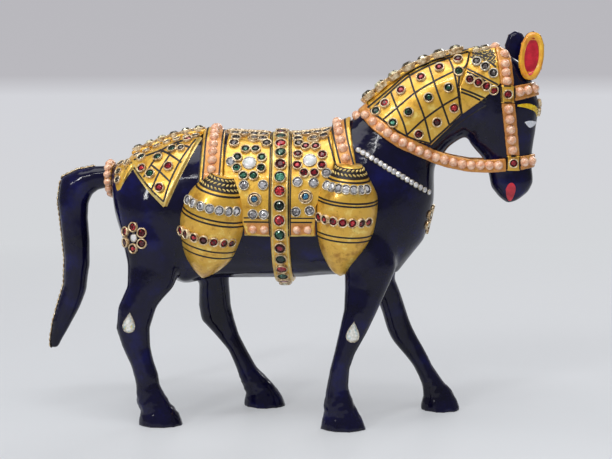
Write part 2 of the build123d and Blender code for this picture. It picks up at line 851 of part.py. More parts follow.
# Two rows of stones round each pot
clear_pot_seats = []
red_pot_seats = []
for pot_side in (right_side, left_side):
    for pot_name, places, height, row_shares in (
        ("rear", rear_pot_shares, rear_pot_height, rear_pot_row_shares),
        ("front", front_pot_shares, front_pot_height, front_pot_row_shares),
    ):
        pot_piece = pots[pot_name, pot_side]
        clear_pot_seats += pot_seats(pot_piece, places, height, pot_side, row_shares[0])
        red_pot_seats += pot_seats(pot_piece, places, height, pot_side, row_shares[1])
group("pot_stones_clear", pot_stone, clear_pot_seats)
group("pot_stones_red", pot_stone, red_pot_seats)

# Stones of the neck and poll cloths
neck_red_places = [
    (31.4, 92.0),
    (27.8, 90.0),
    (24.3, 87.6),
    (20.5, 84.5),
    (17.4, 81.3),
    (30.6, 80.3),
    (27.3, 76.9),
    (23.8, 73.9),
]
neck_green_places = [(31.5, 89.1), (29.5, 85.2), (25.7, 82.8), (21.9, 79.3), (18.9, 76.6), (15.7, 79.4)]
poll_clear_places = [(34.9, 91.3), (36.6, 90.2), (38.0, 88.7)]
poll_red_places = [(33.6, 87.2), (35.2, 86.4), (36.8, 85.5), (38.1, 84.6)]
group("neck_stones_red", plain_stone, side_seats(neck_cloth, neck_red_places))
group("neck_stones_green", plain_stone, side_seats(neck_cloth, neck_green_places))
group("poll_stones_clear", pot_stone, side_seats(poll_cloth, poll_clear_places))
group("poll_stones_red", pot_stone, side_seats(poll_cloth, poll_red_places))
group("crest_crystals", crest_crystal, edge_seats(crest_ridge, trunk_shares[10:15], crest_crystal_count))

# Stones of the croup cloth
croup_red_places = [(-30.0, 65.4), (-26.0, 60.9), (-24.5, 65.9), (-21.5, 71.8)]
croup_green_places = [(-28.1, 64.1), (-27.0, 67.9), (-24.3, 69.9), (-30.6, 68.0)]
group("croup_stones_red", plain_stone, side_seats(croup_cloth, croup_red_places))
group("croup_stones_green", plain_stone, side_seats(croup_cloth, croup_green_places))
croup_line = trunk_shares[2:5] + [(-18.6, 72.7, -19.0, 36.9, 47.7)]
group("croup_crystals", croup_crystal, edge_seats(croup_ridge, croup_line, croup_crystal_count))

# Pearls of the rein and bridle
rein_line = [
    (13.0, 79.0),
    (15.6, 76.4),
    (19.5, 72.9),
    (23.7, 70.1),
    (27.7, 68.0),
    (33.1, 66.4),
    (40.2, 66.3),
]
headstall_line = [(39.9, 94.0), (40.7, 85.8)]
cheek_line = [(40.9, 81.3), (42.1, 68.8)]
browband_line = [(42.4, 84.0), (46.9, 85.3)]
noseband_line = [(43.6, 66.9), (46.7, 67.5)]
group("rein_pearls", half_pearl, side_seats(rein, line_places(rein_line, rein_pearl_count)))
bridle_seats = []
for carrier, line, count in (
    (headstall, headstall_line, headstall_pearl_count),
    (cheek_straps, cheek_line, cheek_pearl_count),
    (browband, browband_line, brow_pearl_count),
    (noseband, noseband_line, nose_pearl_count),
):
    bridle_seats += side_seats(carrier, line_places(line, count))
group("bridle_pearls", half_pearl, bridle_seats)
group("rosette_stones_upper", plain_stone, side_seats(upper_rosettes, [(40.75, 83.6)]))
group("rosette_stones_lower", plain_stone, side_seats(lower_rosettes, [(42.2, 66.9)]))

# Pearls round the crupper ring
ring_middle = tail_root.offset(ring_width / 2)
ring_seats = []
for index in range(ring_pearl_count):
    turn = 2 * math.pi * (index + 0.5) / ring_pearl_count
    ray = ring_middle.x_dir * math.cos(turn) + ring_middle.y_dir * math.sin(turn)
    ring_seats.append(outer_seat(crupper_ring, ring_middle.origin, ray))
ring_pearl = gem(ring_width / 2, ring_width / 2, pearl_rise_share, pearl_top_share)
group("crupper_pearls", ring_pearl, ring_seats)

# Stones glued straight to the enamel
necklace_line = [(11.9, 70.3), (14.2, 68.8), (17.7, 66.0), (20.9, 63.6), (23.9, 61.2), (26.4, 59.3)]
hip_flower = (-31.3, 48.4)
right_drop_places = [(-32.3, 27.3), (11.6, 25.8)]
left_drop_places = [(-18.3, 27.3), (20.5, 25.8)]
chest_flower = (0, 52.5)
chest_petals = []
for index in range(small_petal_count):
    turn = 2 * math.pi * index / small_petal_count
    y_share = percent * small_petal_circle_radius * math.sin(turn) / barrel_width
    z_share = chest_flower[1] + percent * small_petal_circle_radius * math.cos(turn) / horse_height
    chest_petals.append((y_share, z_share))
hip_petals = round_places(hip_flower, small_petal_circle_radius, small_petal_count)
group("necklace", small_stone, side_seats(horse_casting, line_places(necklace_line, necklace_stone_count)))
group("tail_chain", small_stone, edge_seats(tail, tail_shares[2:], tail_stone_count))
group("hip_stones_red", pot_stone, side_seats(horse_casting, hip_petals))
group("hip_stones_clear", plain_stone, side_seats(horse_casting, [hip_flower]))
group("chest_stones", pot_stone, front_seats(horse_casting, [chest_flower] + chest_petals))
group("forehead_stones", pot_stone, front_seats(horse_casting, [(0, 79.4), (0, 81.5)]))
drop_seats = side_seats(horse_casting, right_drop_places, [right_side])
drop_seats += side_seats(horse_casting, left_drop_places, [left_side])
group("leg_drops", drop, drop_seats)
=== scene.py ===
import bpy
import bmesh
import json
import random
from dataclasses import dataclass
from math import copysign, cos, dist, pi, radians, sin, sqrt
import numpy as np
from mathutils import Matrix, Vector, noise
from mathutils.bvhtree import BVHTree
from mathutils.kdtree import KDTree


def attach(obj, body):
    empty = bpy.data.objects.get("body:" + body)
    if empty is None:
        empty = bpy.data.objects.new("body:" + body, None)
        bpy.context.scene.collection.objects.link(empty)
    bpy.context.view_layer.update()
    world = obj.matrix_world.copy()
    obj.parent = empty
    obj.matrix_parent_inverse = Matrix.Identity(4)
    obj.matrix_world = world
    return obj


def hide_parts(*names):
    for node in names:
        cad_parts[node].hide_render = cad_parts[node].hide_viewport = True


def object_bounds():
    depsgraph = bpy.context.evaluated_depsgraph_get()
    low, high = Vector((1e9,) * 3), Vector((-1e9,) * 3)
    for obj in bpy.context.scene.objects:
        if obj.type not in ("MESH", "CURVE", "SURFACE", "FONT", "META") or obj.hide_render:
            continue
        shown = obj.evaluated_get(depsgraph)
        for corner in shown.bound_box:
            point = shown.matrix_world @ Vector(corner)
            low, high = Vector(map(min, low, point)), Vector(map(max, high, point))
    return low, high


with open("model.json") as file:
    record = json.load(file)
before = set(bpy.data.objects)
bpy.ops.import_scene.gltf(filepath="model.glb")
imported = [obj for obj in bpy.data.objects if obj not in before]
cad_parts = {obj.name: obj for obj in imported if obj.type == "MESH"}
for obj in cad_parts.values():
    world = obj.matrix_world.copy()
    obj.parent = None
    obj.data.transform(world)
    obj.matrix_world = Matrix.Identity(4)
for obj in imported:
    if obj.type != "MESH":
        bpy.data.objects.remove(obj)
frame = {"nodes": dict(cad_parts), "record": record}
cad_low, cad_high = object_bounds()
slot_of = {part["node"]: part["material_slot"] for part in frame["record"]["subparts"]}

# Sizes that the places in the side view follow, in metres
mm = 0.001
horse_length = 0.190
horse_height = 0.150
barrel_width = 0.043
centre_share = 2.14
ground_share = 0.95
percent = 100
right = -1
left = 1
sides = (right, left)


def along(share):
    return horse_length * (share + centre_share) / percent


def up(share):
    return horse_height * (share - ground_share) / percent


def across(share):
    return barrel_width * share / percent


# Colours, as the eye reads them, turned to what a shader takes
def paint(red, green, blue):
    def linear(value):
        value /= 255
        return value / 12.92 if value <= 0.04045 else ((value + 0.055) / 1.055) ** 2.4
    return linear(red), linear(green), linear(blue), 1


class Nodes:
    """A material's node tree, with short calls for what is used below."""

    def __init__(self, name):
        self.material = bpy.data.materials.new(name)
        self.material.use_nodes = True
        self.tree = self.material.node_tree
        self.shader = self.tree.nodes["Principled BSDF"]
        self.place = self.node("ShaderNodeTexCoord").outputs["Object"]

    def feed(self, made, inputs):
        """Links each input to a socket, or sets it to a value."""
        for key, value in inputs.items():
            if isinstance(value, bpy.types.NodeSocket):
                self.tree.links.new(value, made.inputs[key])
            else:
                made.inputs[key].default_value = value

    def node(self, kind, inputs=None, **settings):
        made = self.tree.nodes.new(kind)
        for key, value in settings.items():
            setattr(made, key, value)
        self.feed(made, inputs or {})
        return made

    def noise(self, size, detail=4, roughness=0.55):
        """Noise whose blotches are about one size across, in mm."""
        inputs = {"Vector": self.place, "Scale": 1 / (size * mm), "Detail": detail, "Roughness": roughness}
        return self.node("ShaderNodeTexNoise", inputs).outputs["Fac"]

    def ramp(self, source, stops):
        """Tones at places of a source."""
        made = self.node("ShaderNodeValToRGB", {"Fac": source})
        elements = made.color_ramp.elements
        while len(elements) < len(stops):
            elements.new(0.5)
        for element, (position, tone) in zip(elements, stops):
            element.position = position
            element.color = paint(*tone)
        return made.outputs["Color"]

    def spread(self, source, low, high, start=0.3, end=0.7):
        """A source's stretch from start to end, laid over low to high."""
        inputs = {"Value": source, "From Min": start, "From Max": end, "To Min": low, "To Max": high}
        return self.node("ShaderNodeMapRange", inputs).outputs["Result"]

    def part(self, axis):
        """The place along one axis, in metres."""
        return self.node("ShaderNodeSeparateXYZ", {"Vector": self.place}).outputs[axis]

    def bump(self, source, depth, strength, below=None):
        """A relief of some mm, over the one below."""
        inputs = {"Distance": depth * mm, "Strength": strength, "Height": source}
        if below is not None:
            inputs["Normal"] = below
        return self.node("ShaderNodeBump", inputs).outputs["Normal"]

    def combine(self, operation, first, second):
        return self.node("ShaderNodeMath", {0: first, 1: second}, operation=operation).outputs["Value"]

    def dress(self, **inputs):
        """Feeds the shader's own sockets, whose names have _ for a space here."""
        self.feed(self.shader, {key.replace("_", " "): value for key, value in inputs.items()})
        return self.material


def enamel_material():
    """Brushed-on midnight enamel: nearly black, with bluer blotches laid at random that are painted bluish
    reflections, wet gloss.
    """
    m = Nodes("enamel")
    ripple = m.bump(m.noise(5, 2), 0.45, 0.5)
    # Nearly black tones at random; the bluest one is a painted reflection
    tones = [(0.38, (13, 11, 32)), (0.56, (15, 13, 46)), (0.72, (18, 19, 76))]
    return m.dress(
        Base_Color=m.ramp(m.noise(12, 4, 0.6), tones),
        Roughness=m.spread(m.noise(4), 0.08, 0.18),
        Normal=m.bump(m.noise(1.3, 3), 0.07, 0.4, ripple),
        Coat_Weight=0.18,
        Coat_Roughness=0.04,
        Specular_IOR_Level=0.22,
    )


def gilt_material(name, deep, middle, pale, roughness, metallic=0.42):
    """Gold leaf over a hand-laid ground: mottled at random from a deep to a pale tone, faintly wrinkled."""
    m = Nodes(name)
    wrinkle = m.bump(m.noise(2.6, 3), 0.22, 0.5)
    tones = [(0.32, deep), (0.47, middle), (0.56, middle), (0.70, pale)]
    return m.dress(
        Base_Color=m.ramp(m.noise(4.5, 6, 0.62), tones),
        Roughness=m.spread(m.noise(0.9, 3), roughness, roughness + 0.18),
        Normal=m.bump(m.noise(0.6, 5, 0.65), 0.08, 0.45, wrinkle),
        Metallic=metallic,
        Coat_Weight=0.5,
        Coat_Roughness=0.10,
    )


def gem_materials(name, *tones, endings=("_painted_shade", "", "_painted_glint")):
    """Foil-backed stones in a shaded, a middle and a lit copy of one colour: laid facet by facet, the
    copies are painted shade and painted glints; each copy is mottled a little at random.
    """
    made = []
    for ending, (dark, light) in zip(endings, tones):
        m = Nodes(name + ending)
        made.append(m.dress(
            Base_Color=m.ramp(m.noise(0.9, 2), [(0.40, dark), (0.60, light)]),
            Roughness=m.spread(m.noise(0.5), 0.08, 0.16),
            Metallic=0.35,
            Coat_Weight=0.6,
            Coat_Roughness=0.04,
        ))
    return made


def gloss_material(name, dark, light, size, roughness, coat=0.3, metallic=0.0, bump=0.03, blur=0.08):
    """A brushed or cast finish that mottles between two tones."""
    m = Nodes(name)
    return m.dress(
        Base_Color=m.ramp(m.noise(size, 3), [(0.36, dark), (0.64, light)]),
        Roughness=m.spread(m.noise(size / 2), roughness, roughness + 0.1),
        Normal=m.bump(m.noise(size / 3), bump, 0.6),
        Coat_Weight=coat,
        Coat_Roughness=blur,
        Metallic=metallic,
    )


enamel = enamel_material()
gilt = gilt_material("gold_leaf", (190, 132, 34), (232, 182, 66), (250, 222, 122), 0.27)
amber = gilt_material("amber_leaf", (178, 106, 40), (212, 142, 64), (236, 182, 100), 0.32, 0.25)
pale_gilt = gilt_material("pale_leaf", (190, 156, 78), (222, 194, 112), (244, 228, 160), 0.28)
cup_gold = gloss_material("cup_gilt", (170, 130, 78), (250, 230, 190), 1.6, 0.22, metallic=0.3)
cup_silver = gloss_material("cup_silver", (150, 138, 118), (246, 238, 218), 1.6, 0.20, metallic=0.35)
# Dark line paint, which in the cups and in the gaps between stones also stands for painted shade
line_and_shade_paint = gloss_material("line_and_shade_paint", (12, 6, 8), (30, 14, 12), 2, 0.42, coat=0.0)
pearl = gloss_material(
    "pearl", (226, 154, 112), (254, 212, 178), 1.4, 0.22, coat=1.0, bump=0.002, blur=0.2)
opal = gloss_material("opal", (206, 212, 206), (240, 234, 238), 1.5, 0.2, coat=0.6, bump=0.01)
white_paint = gloss_material("white_paint", (224, 228, 238), (248, 248, 252), 1, 0.25)
yellow_paint = gloss_material("yellow_paint", (232, 180, 10), (250, 220, 40), 1.5, 0.25)
ochre_paint = gloss_material("ochre_paint", (226, 140, 30), (248, 196, 60), 4.5, 0.28)
red_paint = gloss_material("red_paint", (168, 16, 38), (214, 34, 56), 3, 0.28)
# Each stone colour comes in a shaded, a middle and a lit copy: painted shade and painted glints on the
# facets
rubies = gem_materials(
    "ruby", ((52, 8, 14), (84, 12, 22)), ((120, 10, 28), (164, 22, 42)), ((184, 24, 40), (224, 70, 74)))
emeralds = gem_materials(
    "emerald", ((12, 20, 20), (10, 38, 30)), ((8, 56, 40), (20, 88, 62)), ((40, 120, 88), (120, 186, 160)))
clears = gem_materials(
    "clear", ((104, 100, 100), (160, 156, 158)), ((168, 168, 172), (214, 212, 216)),
    ((230, 230, 234), (250, 248, 250)))
champagnes = gem_materials(
    "champagne", ((56, 48, 34), (104, 92, 64)), ((140, 132, 98), (190, 180, 140)),
    ((214, 208, 172), (242, 238, 214)))
smokes = gem_materials(
    "smoke", ((30, 24, 26), (58, 48, 46)), ((90, 80, 78), (140, 130, 124)),
    ((190, 180, 176), (230, 224, 220)))
blues = gem_materials(
    "sapphire", ((24, 40, 62), (36, 66, 100)), ((40, 96, 136), (70, 140, 176)),
    ((130, 186, 208), (190, 220, 232)))
# Aurora stones in pale, cool and warm copies, laid facet by facet as painted glints in three tints
auroras = gem_materials(
    "aurora", ((220, 218, 206), (252, 250, 244)), ((176, 210, 214), (238, 244, 242)),
    ((224, 214, 150), (248, 238, 206)), endings=("_pale", "_cool", "_warm"))


def inside_box(points):
    """The same points, none of them past the frame's own box."""
    return np.clip(np.array(points), np.array(cad_low), np.array(cad_high))


def quads(rows, count, closed=True):
    """The four corners of each face between rows of points, by number."""
    for row in range(rows - 1):
        for i in range(count if closed else count - 1):
            a = row * count + i
            b = row * count + (i + 1) % count
            yield a, b, b + count, a + count


# Shapes taken from the frame
def dense_copy(node_name, voxel):
    """An even, closed mesh over a node's solid, of voxels of some mm."""
    mesh = frame["nodes"][node_name].data.copy()
    source = bpy.data.objects.new(node_name + "_source", mesh)
    bpy.context.scene.collection.objects.link(source)
    remesh = source.modifiers.new("remesh", "REMESH")
    remesh.mode = "VOXEL"
    remesh.voxel_size = voxel * mm
    found = source.evaluated_get(bpy.context.evaluated_depsgraph_get())
    dense = bpy.data.meshes.new_from_object(found)
    bpy.data.objects.remove(source)
    return dense


class Net:
    """A mesh's points as an array, with the neighbours of each."""

    def __init__(self, mesh):
        self.mesh = mesh
        count = len(mesh.vertices)
        self.points = self.read("co")
        edges = np.empty(len(mesh.edges) * 2, int)
        mesh.edges.foreach_get("vertices", edges)
        first, second = edges.reshape(-1, 2).T
        self.ends = np.concatenate([first, second])
        self.others = np.concatenate([second, first])
        self.number = np.maximum(np.bincount(self.ends, minlength=count), 1)

    def read(self, key):
        values = np.empty(len(self.mesh.vertices) * 3)
        self.mesh.vertices.foreach_get(key, values)
        return values.reshape(-1, 3)

    def evened(self, values, weight, passes):
        """Draws each point's value towards the mean of its neighbours."""
        count = len(values)
        for step in range(passes):
            mean = np.stack([
                np.bincount(self.ends, weights=values[self.others, axis], minlength=count) / self.number
                for axis in range(3)
            ], axis=1)
            values = values + weight * (mean - values)
        return values

    def rounded(self, weight, passes):
        """Rounds the form; the bulk that this takes off is rounded and put back."""
        once = self.evened(self.points, weight, passes)
        return once + self.evened(self.points - once, weight, passes)

    def store(self, points):
        self.mesh.vertices.foreach_set("co", inside_box(points).ravel())
        self.mesh.update()


def mesh_of(name, points, faces, materials, smooth=None):
    """A mesh from points and faces; smooth says face by face, or all are smooth."""
    mesh = bpy.data.meshes.new(name)
    mesh.from_pydata(points, [], faces)
    for material in materials:
        mesh.materials.append(material)
    mesh.polygons.foreach_set("use_smooth", smooth or [True] * len(faces))
    mesh.update()
    return mesh


def show(name, mesh):
    piece = bpy.data.objects.new(name, mesh)
    bpy.context.scene.collection.objects.link(piece)
    return piece


def piece_of(name, mesh):
    piece = show(name, mesh)
    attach(piece, "root")
    return piece


def dressed(node_name, mesh, material):
    """A shaped mesh as a piece that stands for a node."""
    mesh.materials.clear()
    mesh.materials.append(material)
    mesh.polygons.foreach_set("use_smooth", [True] * len(mesh.polygons))
    piece = piece_of(node_name + "_shape", mesh)
    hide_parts(node_name)
    return piece


# The casting: broad forms are rounded much, the head less, the thin legs least
casting_net = Net(dense_copy("horse_casting", 0.7))
heights = casting_net.points[:, 2]
lengths = casting_net.points[:, 0]
leg_weight = np.interp(heights, [up(35), up(49)], [0.07, 0.46])
head_weight = np.interp(lengths, [along(30), along(38)], [1.0, 0.30])
casting_weight = (leg_weight * head_weight)[:, None]
casting_start = casting_net.points.copy()
casting_end = casting_net.rounded(casting_weight, 60)

# The photograph's top line, with what stands on it, is a little fuller than the casting's
top_line = [
    (-36, 66.8, -0.6), (-31, 69.2, -0.6), (-26, 71.0, 0.7), (-19, 72.8, 1.4), (-16.5, 73.0, 2.6),
    (-14, 73.2, 1.0), (-10, 73.2, 0.8), (0, 73.1, 0.5), (6, 73.8, 0.8), (8, 74.5, 2.2), (10, 75.6, 2.2),
    (12, 78.0, 3.0), (14, 80.5, 2.0), (16, 82.8, 0.7), (22, 88.4, 0.6), (30, 92.3, 0.3), (34, 93.2, 0.8),
    (37, 93.6, 1.6), (39, 93.9, 2.4), (41, 93.8, 0.6), (43, 92.0, 0.0),
]
top_x = [along(row[0]) for row in top_line]
top_height = np.interp(lengths, top_x, [up(row[1]) for row in top_line])
top_lift = np.interp(lengths, top_x, [row[2] * mm for row in top_line])
near_top = np.clip((heights - top_height + 20 * mm) / (20 * mm), 0, 1)
casting_end[:, 2] += top_lift * near_top * near_top


def nudged(points, places):
    """Draws a form gently towards its outline in the photograph around some places; sizes in mm."""
    moved = points.copy()
    for x_share, z_share, side, reach, x_shift, z_shift in places:
        off = np.stack([points[:, 0] - along(x_share), points[:, 2] - up(z_share)], axis=1)
        pull = np.exp(-(off ** 2).sum(axis=1) / (reach * mm) ** 2) * mm
        if side:
            pull *= np.clip(points[:, 1] * side / (8 * mm), 0, 1)
        moved[:, 0] += pull * x_shift
        moved[:, 2] += pull * z_shift
    return moved


casting_end = nudged(casting_end, [
    (-24.7, 36.7, right, 7, 1.3, -1.2),
    (-27.4, 14.0, right, 6, 1.2, 0),
    (21.6, 21.5, left, 13, -1.7, -0.8),
    (19.0, 21.5, left, 8, -1.1, -1.0),
    (-13.5, 9.0, left, 5, 0, -1.2),
    (-22.5, 38.2, 0, 7, 0, -1.6),
])
casting_net.store(casting_end)

# Small knuckles above each hoof
normals = casting_net.read("normal")
for index in np.flatnonzero(heights < up(11)):
    share_up = (casting_end[index, 2] - up(2.5)) / (up(10.5) - up(2.5))
    depth = 0.30 * mm * sin(pi * min(max(share_up, 0), 1))
    grain = noise.noise(Vector(casting_end[index]) / (1.9 * mm))
    casting_end[index] += normals[index] * depth * grain
casting_net.store(casting_end)
casting = dressed("horse_casting", casting_net.mesh, enamel)
casting_shift = casting_end - casting_start
shift_tree = KDTree(len(casting_start))
for index, point in enumerate(casting_start):
    shift_tree.insert(point, index)
shift_tree.balance()


def follow(points):
    """Moves points that lie on the casting as its rounding moved the casting."""
    moved = points.copy()
    for index, point in enumerate(points):
        numbers, distances = zip(*[near[1:] for near in shift_tree.find_n(point, 5)])
        weights = 1 / (np.array(distances) + 0.3 * mm)
        fade = min(max(2 - distances[0] / (3 * mm), 0), 1)
        moved[index] += weights @ casting_shift[list(numbers)] / weights.sum() * fade
    return moved


def upright(x, y, z):
    """How far the tops of the rear strap and the girth stand back, to look upright from the side."""
    inward = np.clip(1 - np.abs(y) / (19 * mm), 0, 1)
    high = np.clip((z - up(58)) / (up(70) - up(58)), 0, 1)
    return -1.7 * mm * inward * high


tail_net = Net(dense_copy("tail", 0.6))
tail_end = nudged(tail_net.rounded(0.22, 40), [
    (-45.1, 30.5, 0, 9, 1.0, 0),
    (-47.6, 23.0, 0, 8, 1.1, 0),
    (-48.5, 60.5, 0, 7, -0.8, 1.0),
])
tail_net.store(tail_end)
tail = dressed("tail", tail_net.mesh, enamel)

reliefs = {}
for relief_names, voxel, passes, finish in (
    (("saddle_cloth", "saddle_strap_rear", "saddle_strap_front"), 0.42, 7, gilt),
    (("croup_cloth", "neck_cloth"), 0.40, 7, gilt),
    (("poll_cloth",), 0.34, 6, gilt),
    (("headstall",), 0.36, 6, amber),
    (("rosettes_upper", "rosettes_lower"), 0.36, 5, gilt),
    (("cheek_straps", "browband", "noseband"), 0.36, 6, amber),
    (("girth_band",), 0.42, 7, gilt),
    (("crest_ridge", "croup_ridge"), 0.40, 8, gilt),
    (("rein",), 0.40, 10, amber),
    (("crupper_ring",), 0.36, 7, amber),
):
    for relief_name in relief_names:
        relief_net = Net(dense_copy(relief_name, voxel))
        relief_net.points = follow(relief_net.points)
        if relief_name in ("saddle_strap_rear", "girth_band"):
            relief_net.points[:, 0] += upright(*relief_net.points.T)
        relief_net.store(relief_net.rounded(0.45, passes))
        reliefs[relief_name] = dressed(relief_name, relief_net.mesh, finish)

ears = {}
for ear_side, ear_name in ((right, "ear_right"), (left, "ear_left")):
    ear_net = Net(dense_copy(ear_name, 0.34))
    ear_net.store(ear_net.rounded(0.40, 10))
    ears[ear_side] = dressed(ear_name, ear_net.mesh, enamel)


def smooth_line(corners, pieces):
    """A curve through corners of any dimension, with a number of steps between each two."""
    corners = np.array(corners, float)
    ways = [2 * corners[0] - corners[1], *corners, 2 * corners[-1] - corners[-2]]
    line = []
    for a, b, c, d in zip(ways, ways[1:], ways[2:], ways[3:]):
        for step in range(pieces):
            t = step / pieces
            line.append(0.5 * (2 * b + (c - a) * t + (2 * a - 5 * b + 4 * c - d) * t * t
                               + (3 * b - a - 3 * c + d) * t ** 3))
    line.append(corners[-1])
    return line


# Half pots, turned round their own axes
pot_sizes = {
    "rear": ((-18.5, 37.9), (-13.5, 64.3), 25, 44, 41 * mm, 12.3 * mm),
    "front": ((8.8, 38.9), (10.9, 67.4), 26, 44, 42.6 * mm, 11.2 * mm),
}
pot_widening = 1.05
pot_profiles = {
    "rear": smooth_line([
        (3, 0), (20, 4), (40, 10), (67, 21), (84, 33), (96, 46), (100, 58), (95, 69), (86, 78), (72, 86),
        (56, 92), (42, 97), (32, 100),
    ], 4),
    "front": smooth_line([
        (4, 0), (30, 5), (55, 15), (79, 27), (93, 39), (99, 51), (100, 62), (94, 75), (76, 84), (62, 90),
        (48, 96), (38, 100),
    ], 4),
}


class Pot:
    """One pot: its axis, and the place on its wall at a share of its height and a turn."""

    def __init__(self, name, side):
        tip_place, mouth_place, tip_depth, mouth_depth, self.height, self.radius = pot_sizes[name]
        self.radius_shares, self.height_shares = np.array(pot_profiles[name]).T
        self.tip = Vector((along(tip_place[0]), side * across(tip_depth), up(tip_place[1])))
        mouth = Vector((along(mouth_place[0]), side * across(mouth_depth), up(mouth_place[1])))
        self.axis = (mouth - self.tip).normalized()
        outward = Vector((0, side, 0))
        self.outward = (outward - self.axis * outward.dot(self.axis)).normalized()
        self.sideways = self.outward.cross(self.axis)

    def wall(self, share, turn, lift=0.0):
        reach = self.radius * np.interp(share, self.height_shares, self.radius_shares) / percent + lift
        ray = self.outward * cos(turn) + self.sideways * sin(turn) * pot_widening
        return self.tip + self.axis * self.height * share / percent + ray * reach


pots = {}
pot_pieces = {}
pot_turns = 56
for pot_name in pot_sizes:
    for side, side_name in ((right, "right"), (left, "left")):
        pot = Pot(pot_name, side)
        points = [
            pot.wall(height_share, 2 * pi * i / pot_turns)
            for height_share in pot.height_shares for i in range(pot_turns)
        ]
        foot = tuple(range(pot_turns))[::-1]
        mouth = tuple(range(len(points) - pot_turns, len(points)))
        faces = [*quads(len(pot.height_shares), pot_turns), foot, mouth]
        pots[pot_name, side] = pot
        mesh = mesh_of("pot", points, faces, [])
        pot_pieces[pot_name, side] = dressed(f"pot_{pot_name}_{side_name}", mesh, gilt)


def tree_of(pieces):
    """One tree for rays that meet any of some pieces."""
    points = []
    faces = []
    for piece in pieces:
        first = len(points)
        points += [vertex.co.copy() for vertex in piece.data.vertices]
        faces += [tuple(first + index for index in polygon.vertices) for polygon in piece.data.polygons]
    return BVHTree.FromPolygons(points, faces)


body_tree = tree_of([casting, tail, *reliefs.values()])
whole_tree = tree_of([casting, tail, *reliefs.values(), *ears.values(), *pot_pieces.values()])
ear_trees = {side: tree_of([ears[side]]) for side in sides}


# Stones, pearls and cups; a seat is felt for by rays from above it to a little below it
feeler_start = 4 * mm
feeler_reach = 7 * mm


@dataclass
class Seat:
    """Where one stone sits: the middle of its foot, outward axis, long way and reach."""

    centre: Vector
    axis: Vector
    long_way: Vector
    reach: float

    def settled(self):
        """The same seat on the rounded surface below it."""
        side_way = self.axis.cross(self.long_way)
        normals = Vector()
        found = None
        for index in range(7):
            turn = pi / 3 * index
            aside = (self.long_way * cos(turn) + side_way * sin(turn)) * self.reach * 0.6
            start = self.centre + self.axis * feeler_start + (aside if index else Vector())
            hit, normal = whole_tree.ray_cast(start, -self.axis, feeler_reach)[:2]
            if hit is not None and normal.dot(self.axis) > 0.5:
                normals += normal
                if index == 0:
                    found = hit
        if found is None:
            return self
        axis = (normals.normalized() + self.axis * 0.5).normalized()
        long_way = (self.long_way - axis * self.long_way.dot(axis)).normalized()
        return Seat(found, axis, long_way, self.reach)


def seat_under(start, direction, reach):
    """The seat that a ray from outside meets first, its long way towards the head; reach in mm."""
    hit, normal = whole_tree.ray_cast(start, direction)[:2]
    long_way = (Vector((1, 0, 0)) - normal * normal.x).normalized()
    return Seat(hit, normal, long_way, reach * mm).settled()


def seats_of(node_name):
    mesh = bmesh.new()
    mesh.from_mesh(frame["nodes"][node_name].data)
    bmesh.ops.remove_doubles(mesh, verts=mesh.verts, dist=0.001 * mm)
    seen = set()
    found = []
    for start in mesh.faces:
        if start in seen:
            continue
        group = [start]
        seen.add(start)
        for face in group:
            for edge in face.edges:
                for other in edge.link_faces:
                    if other not in seen:
                        seen.add(other)
                        group.append(other)
        flats = {}
        for face in group:
            key = tuple(round(value, 2) for value in face.normal)
            flats.setdefault(key, []).append(face)
        base = max(flats.values(), key=lambda faces: sum(face.calc_area() for face in faces))
        corners = list(dict.fromkeys(vertex for face in base for vertex in face.verts))
        centre = sum((vertex.co for vertex in corners), Vector()) / len(corners)
        far = max(corners, key=lambda corner: (corner.co - centre).length + corner.co.z * 0.01)
        reach = (far.co - centre).length
        long_way = (far.co - centre).normalized()
        if node_name in ("strap_pearls_rear", "girth_stones_green", "girth_stones_red"):
            centre.x += upright(*centre)
        found.append(Seat(centre, -base[0].normal.normalized(), long_way, reach).settled())
    mesh.free()
    return found


def ring(radius, height, count, turn=0.0):
    angles = [2 * pi * (i + turn) / count for i in range(count)]
    return [(radius * cos(angle), radius * sin(angle), height) for angle in angles]


def drop_ring(scale, height, count=20):
    """A ring in the shape of a drop whose point lies along X."""
    corners = []
    for i in range(count):
        angle = 2 * pi * i / count
        wide = sin(angle) * abs(sin(angle / 2)) ** 1.3
        corners.append((scale * cos(angle), scale * 0.86 * wide, height))
    return corners


class Model:
    """A small form of unit reach, built once and set down at many seats."""

    def __init__(self):
        self.points = []
        self.faces = []
        self.kinds = []
        self.smooth = []

    def face(self, corners, kind=0, smooth=False):
        self.faces.append(corners)
        self.kinds.append(kind)
        self.smooth.append(smooth)

    def band(self, rings, kind, smooth=True, close=False):
        count = len(rings[0])
        first = len(self.points)
        for each in rings:
            self.points += each
        for corners in quads(len(rings), count):
            self.face(tuple(first + corner for corner in corners), kind, smooth)
        if close:
            last = len(self.points)
            self.face(tuple(range(last - count, last)), kind, smooth)

    def turned(self, profile, count, kind):
        self.band([ring(reach, height, count) for reach, height in profile], kind)

    def cut_stone(self, reach, foot, rise):
        """Girdle of sixteen, eight bezels, a star and a table."""
        first = len(self.points)
        self.points += ring(reach, foot, 16)
        self.points += ring(reach * 0.80, foot + rise * 0.6, 8, 0.5)
        self.points += ring(reach * 0.52, foot + rise, 8)
        girdle = range(first, first + 16)
        middle = range(first + 16, first + 24)
        table = range(first + 24, first + 32)
        for i in range(8):
            j = (i + 1) % 8
            self.face((girdle[2 * i], girdle[2 * i + 1], middle[i]))
            self.face((girdle[2 * i + 1], girdle[(2 * i + 2) % 16], middle[i]))
            self.face((girdle[2 * i], middle[i], table[i], middle[i - 1]))
            self.face((middle[i], table[j], table[i]))
        self.face(tuple(table))


# Face kinds past the stone's own: the cup's metal, and the dark line paint laid as painted shade
metal = 3
shade = 4


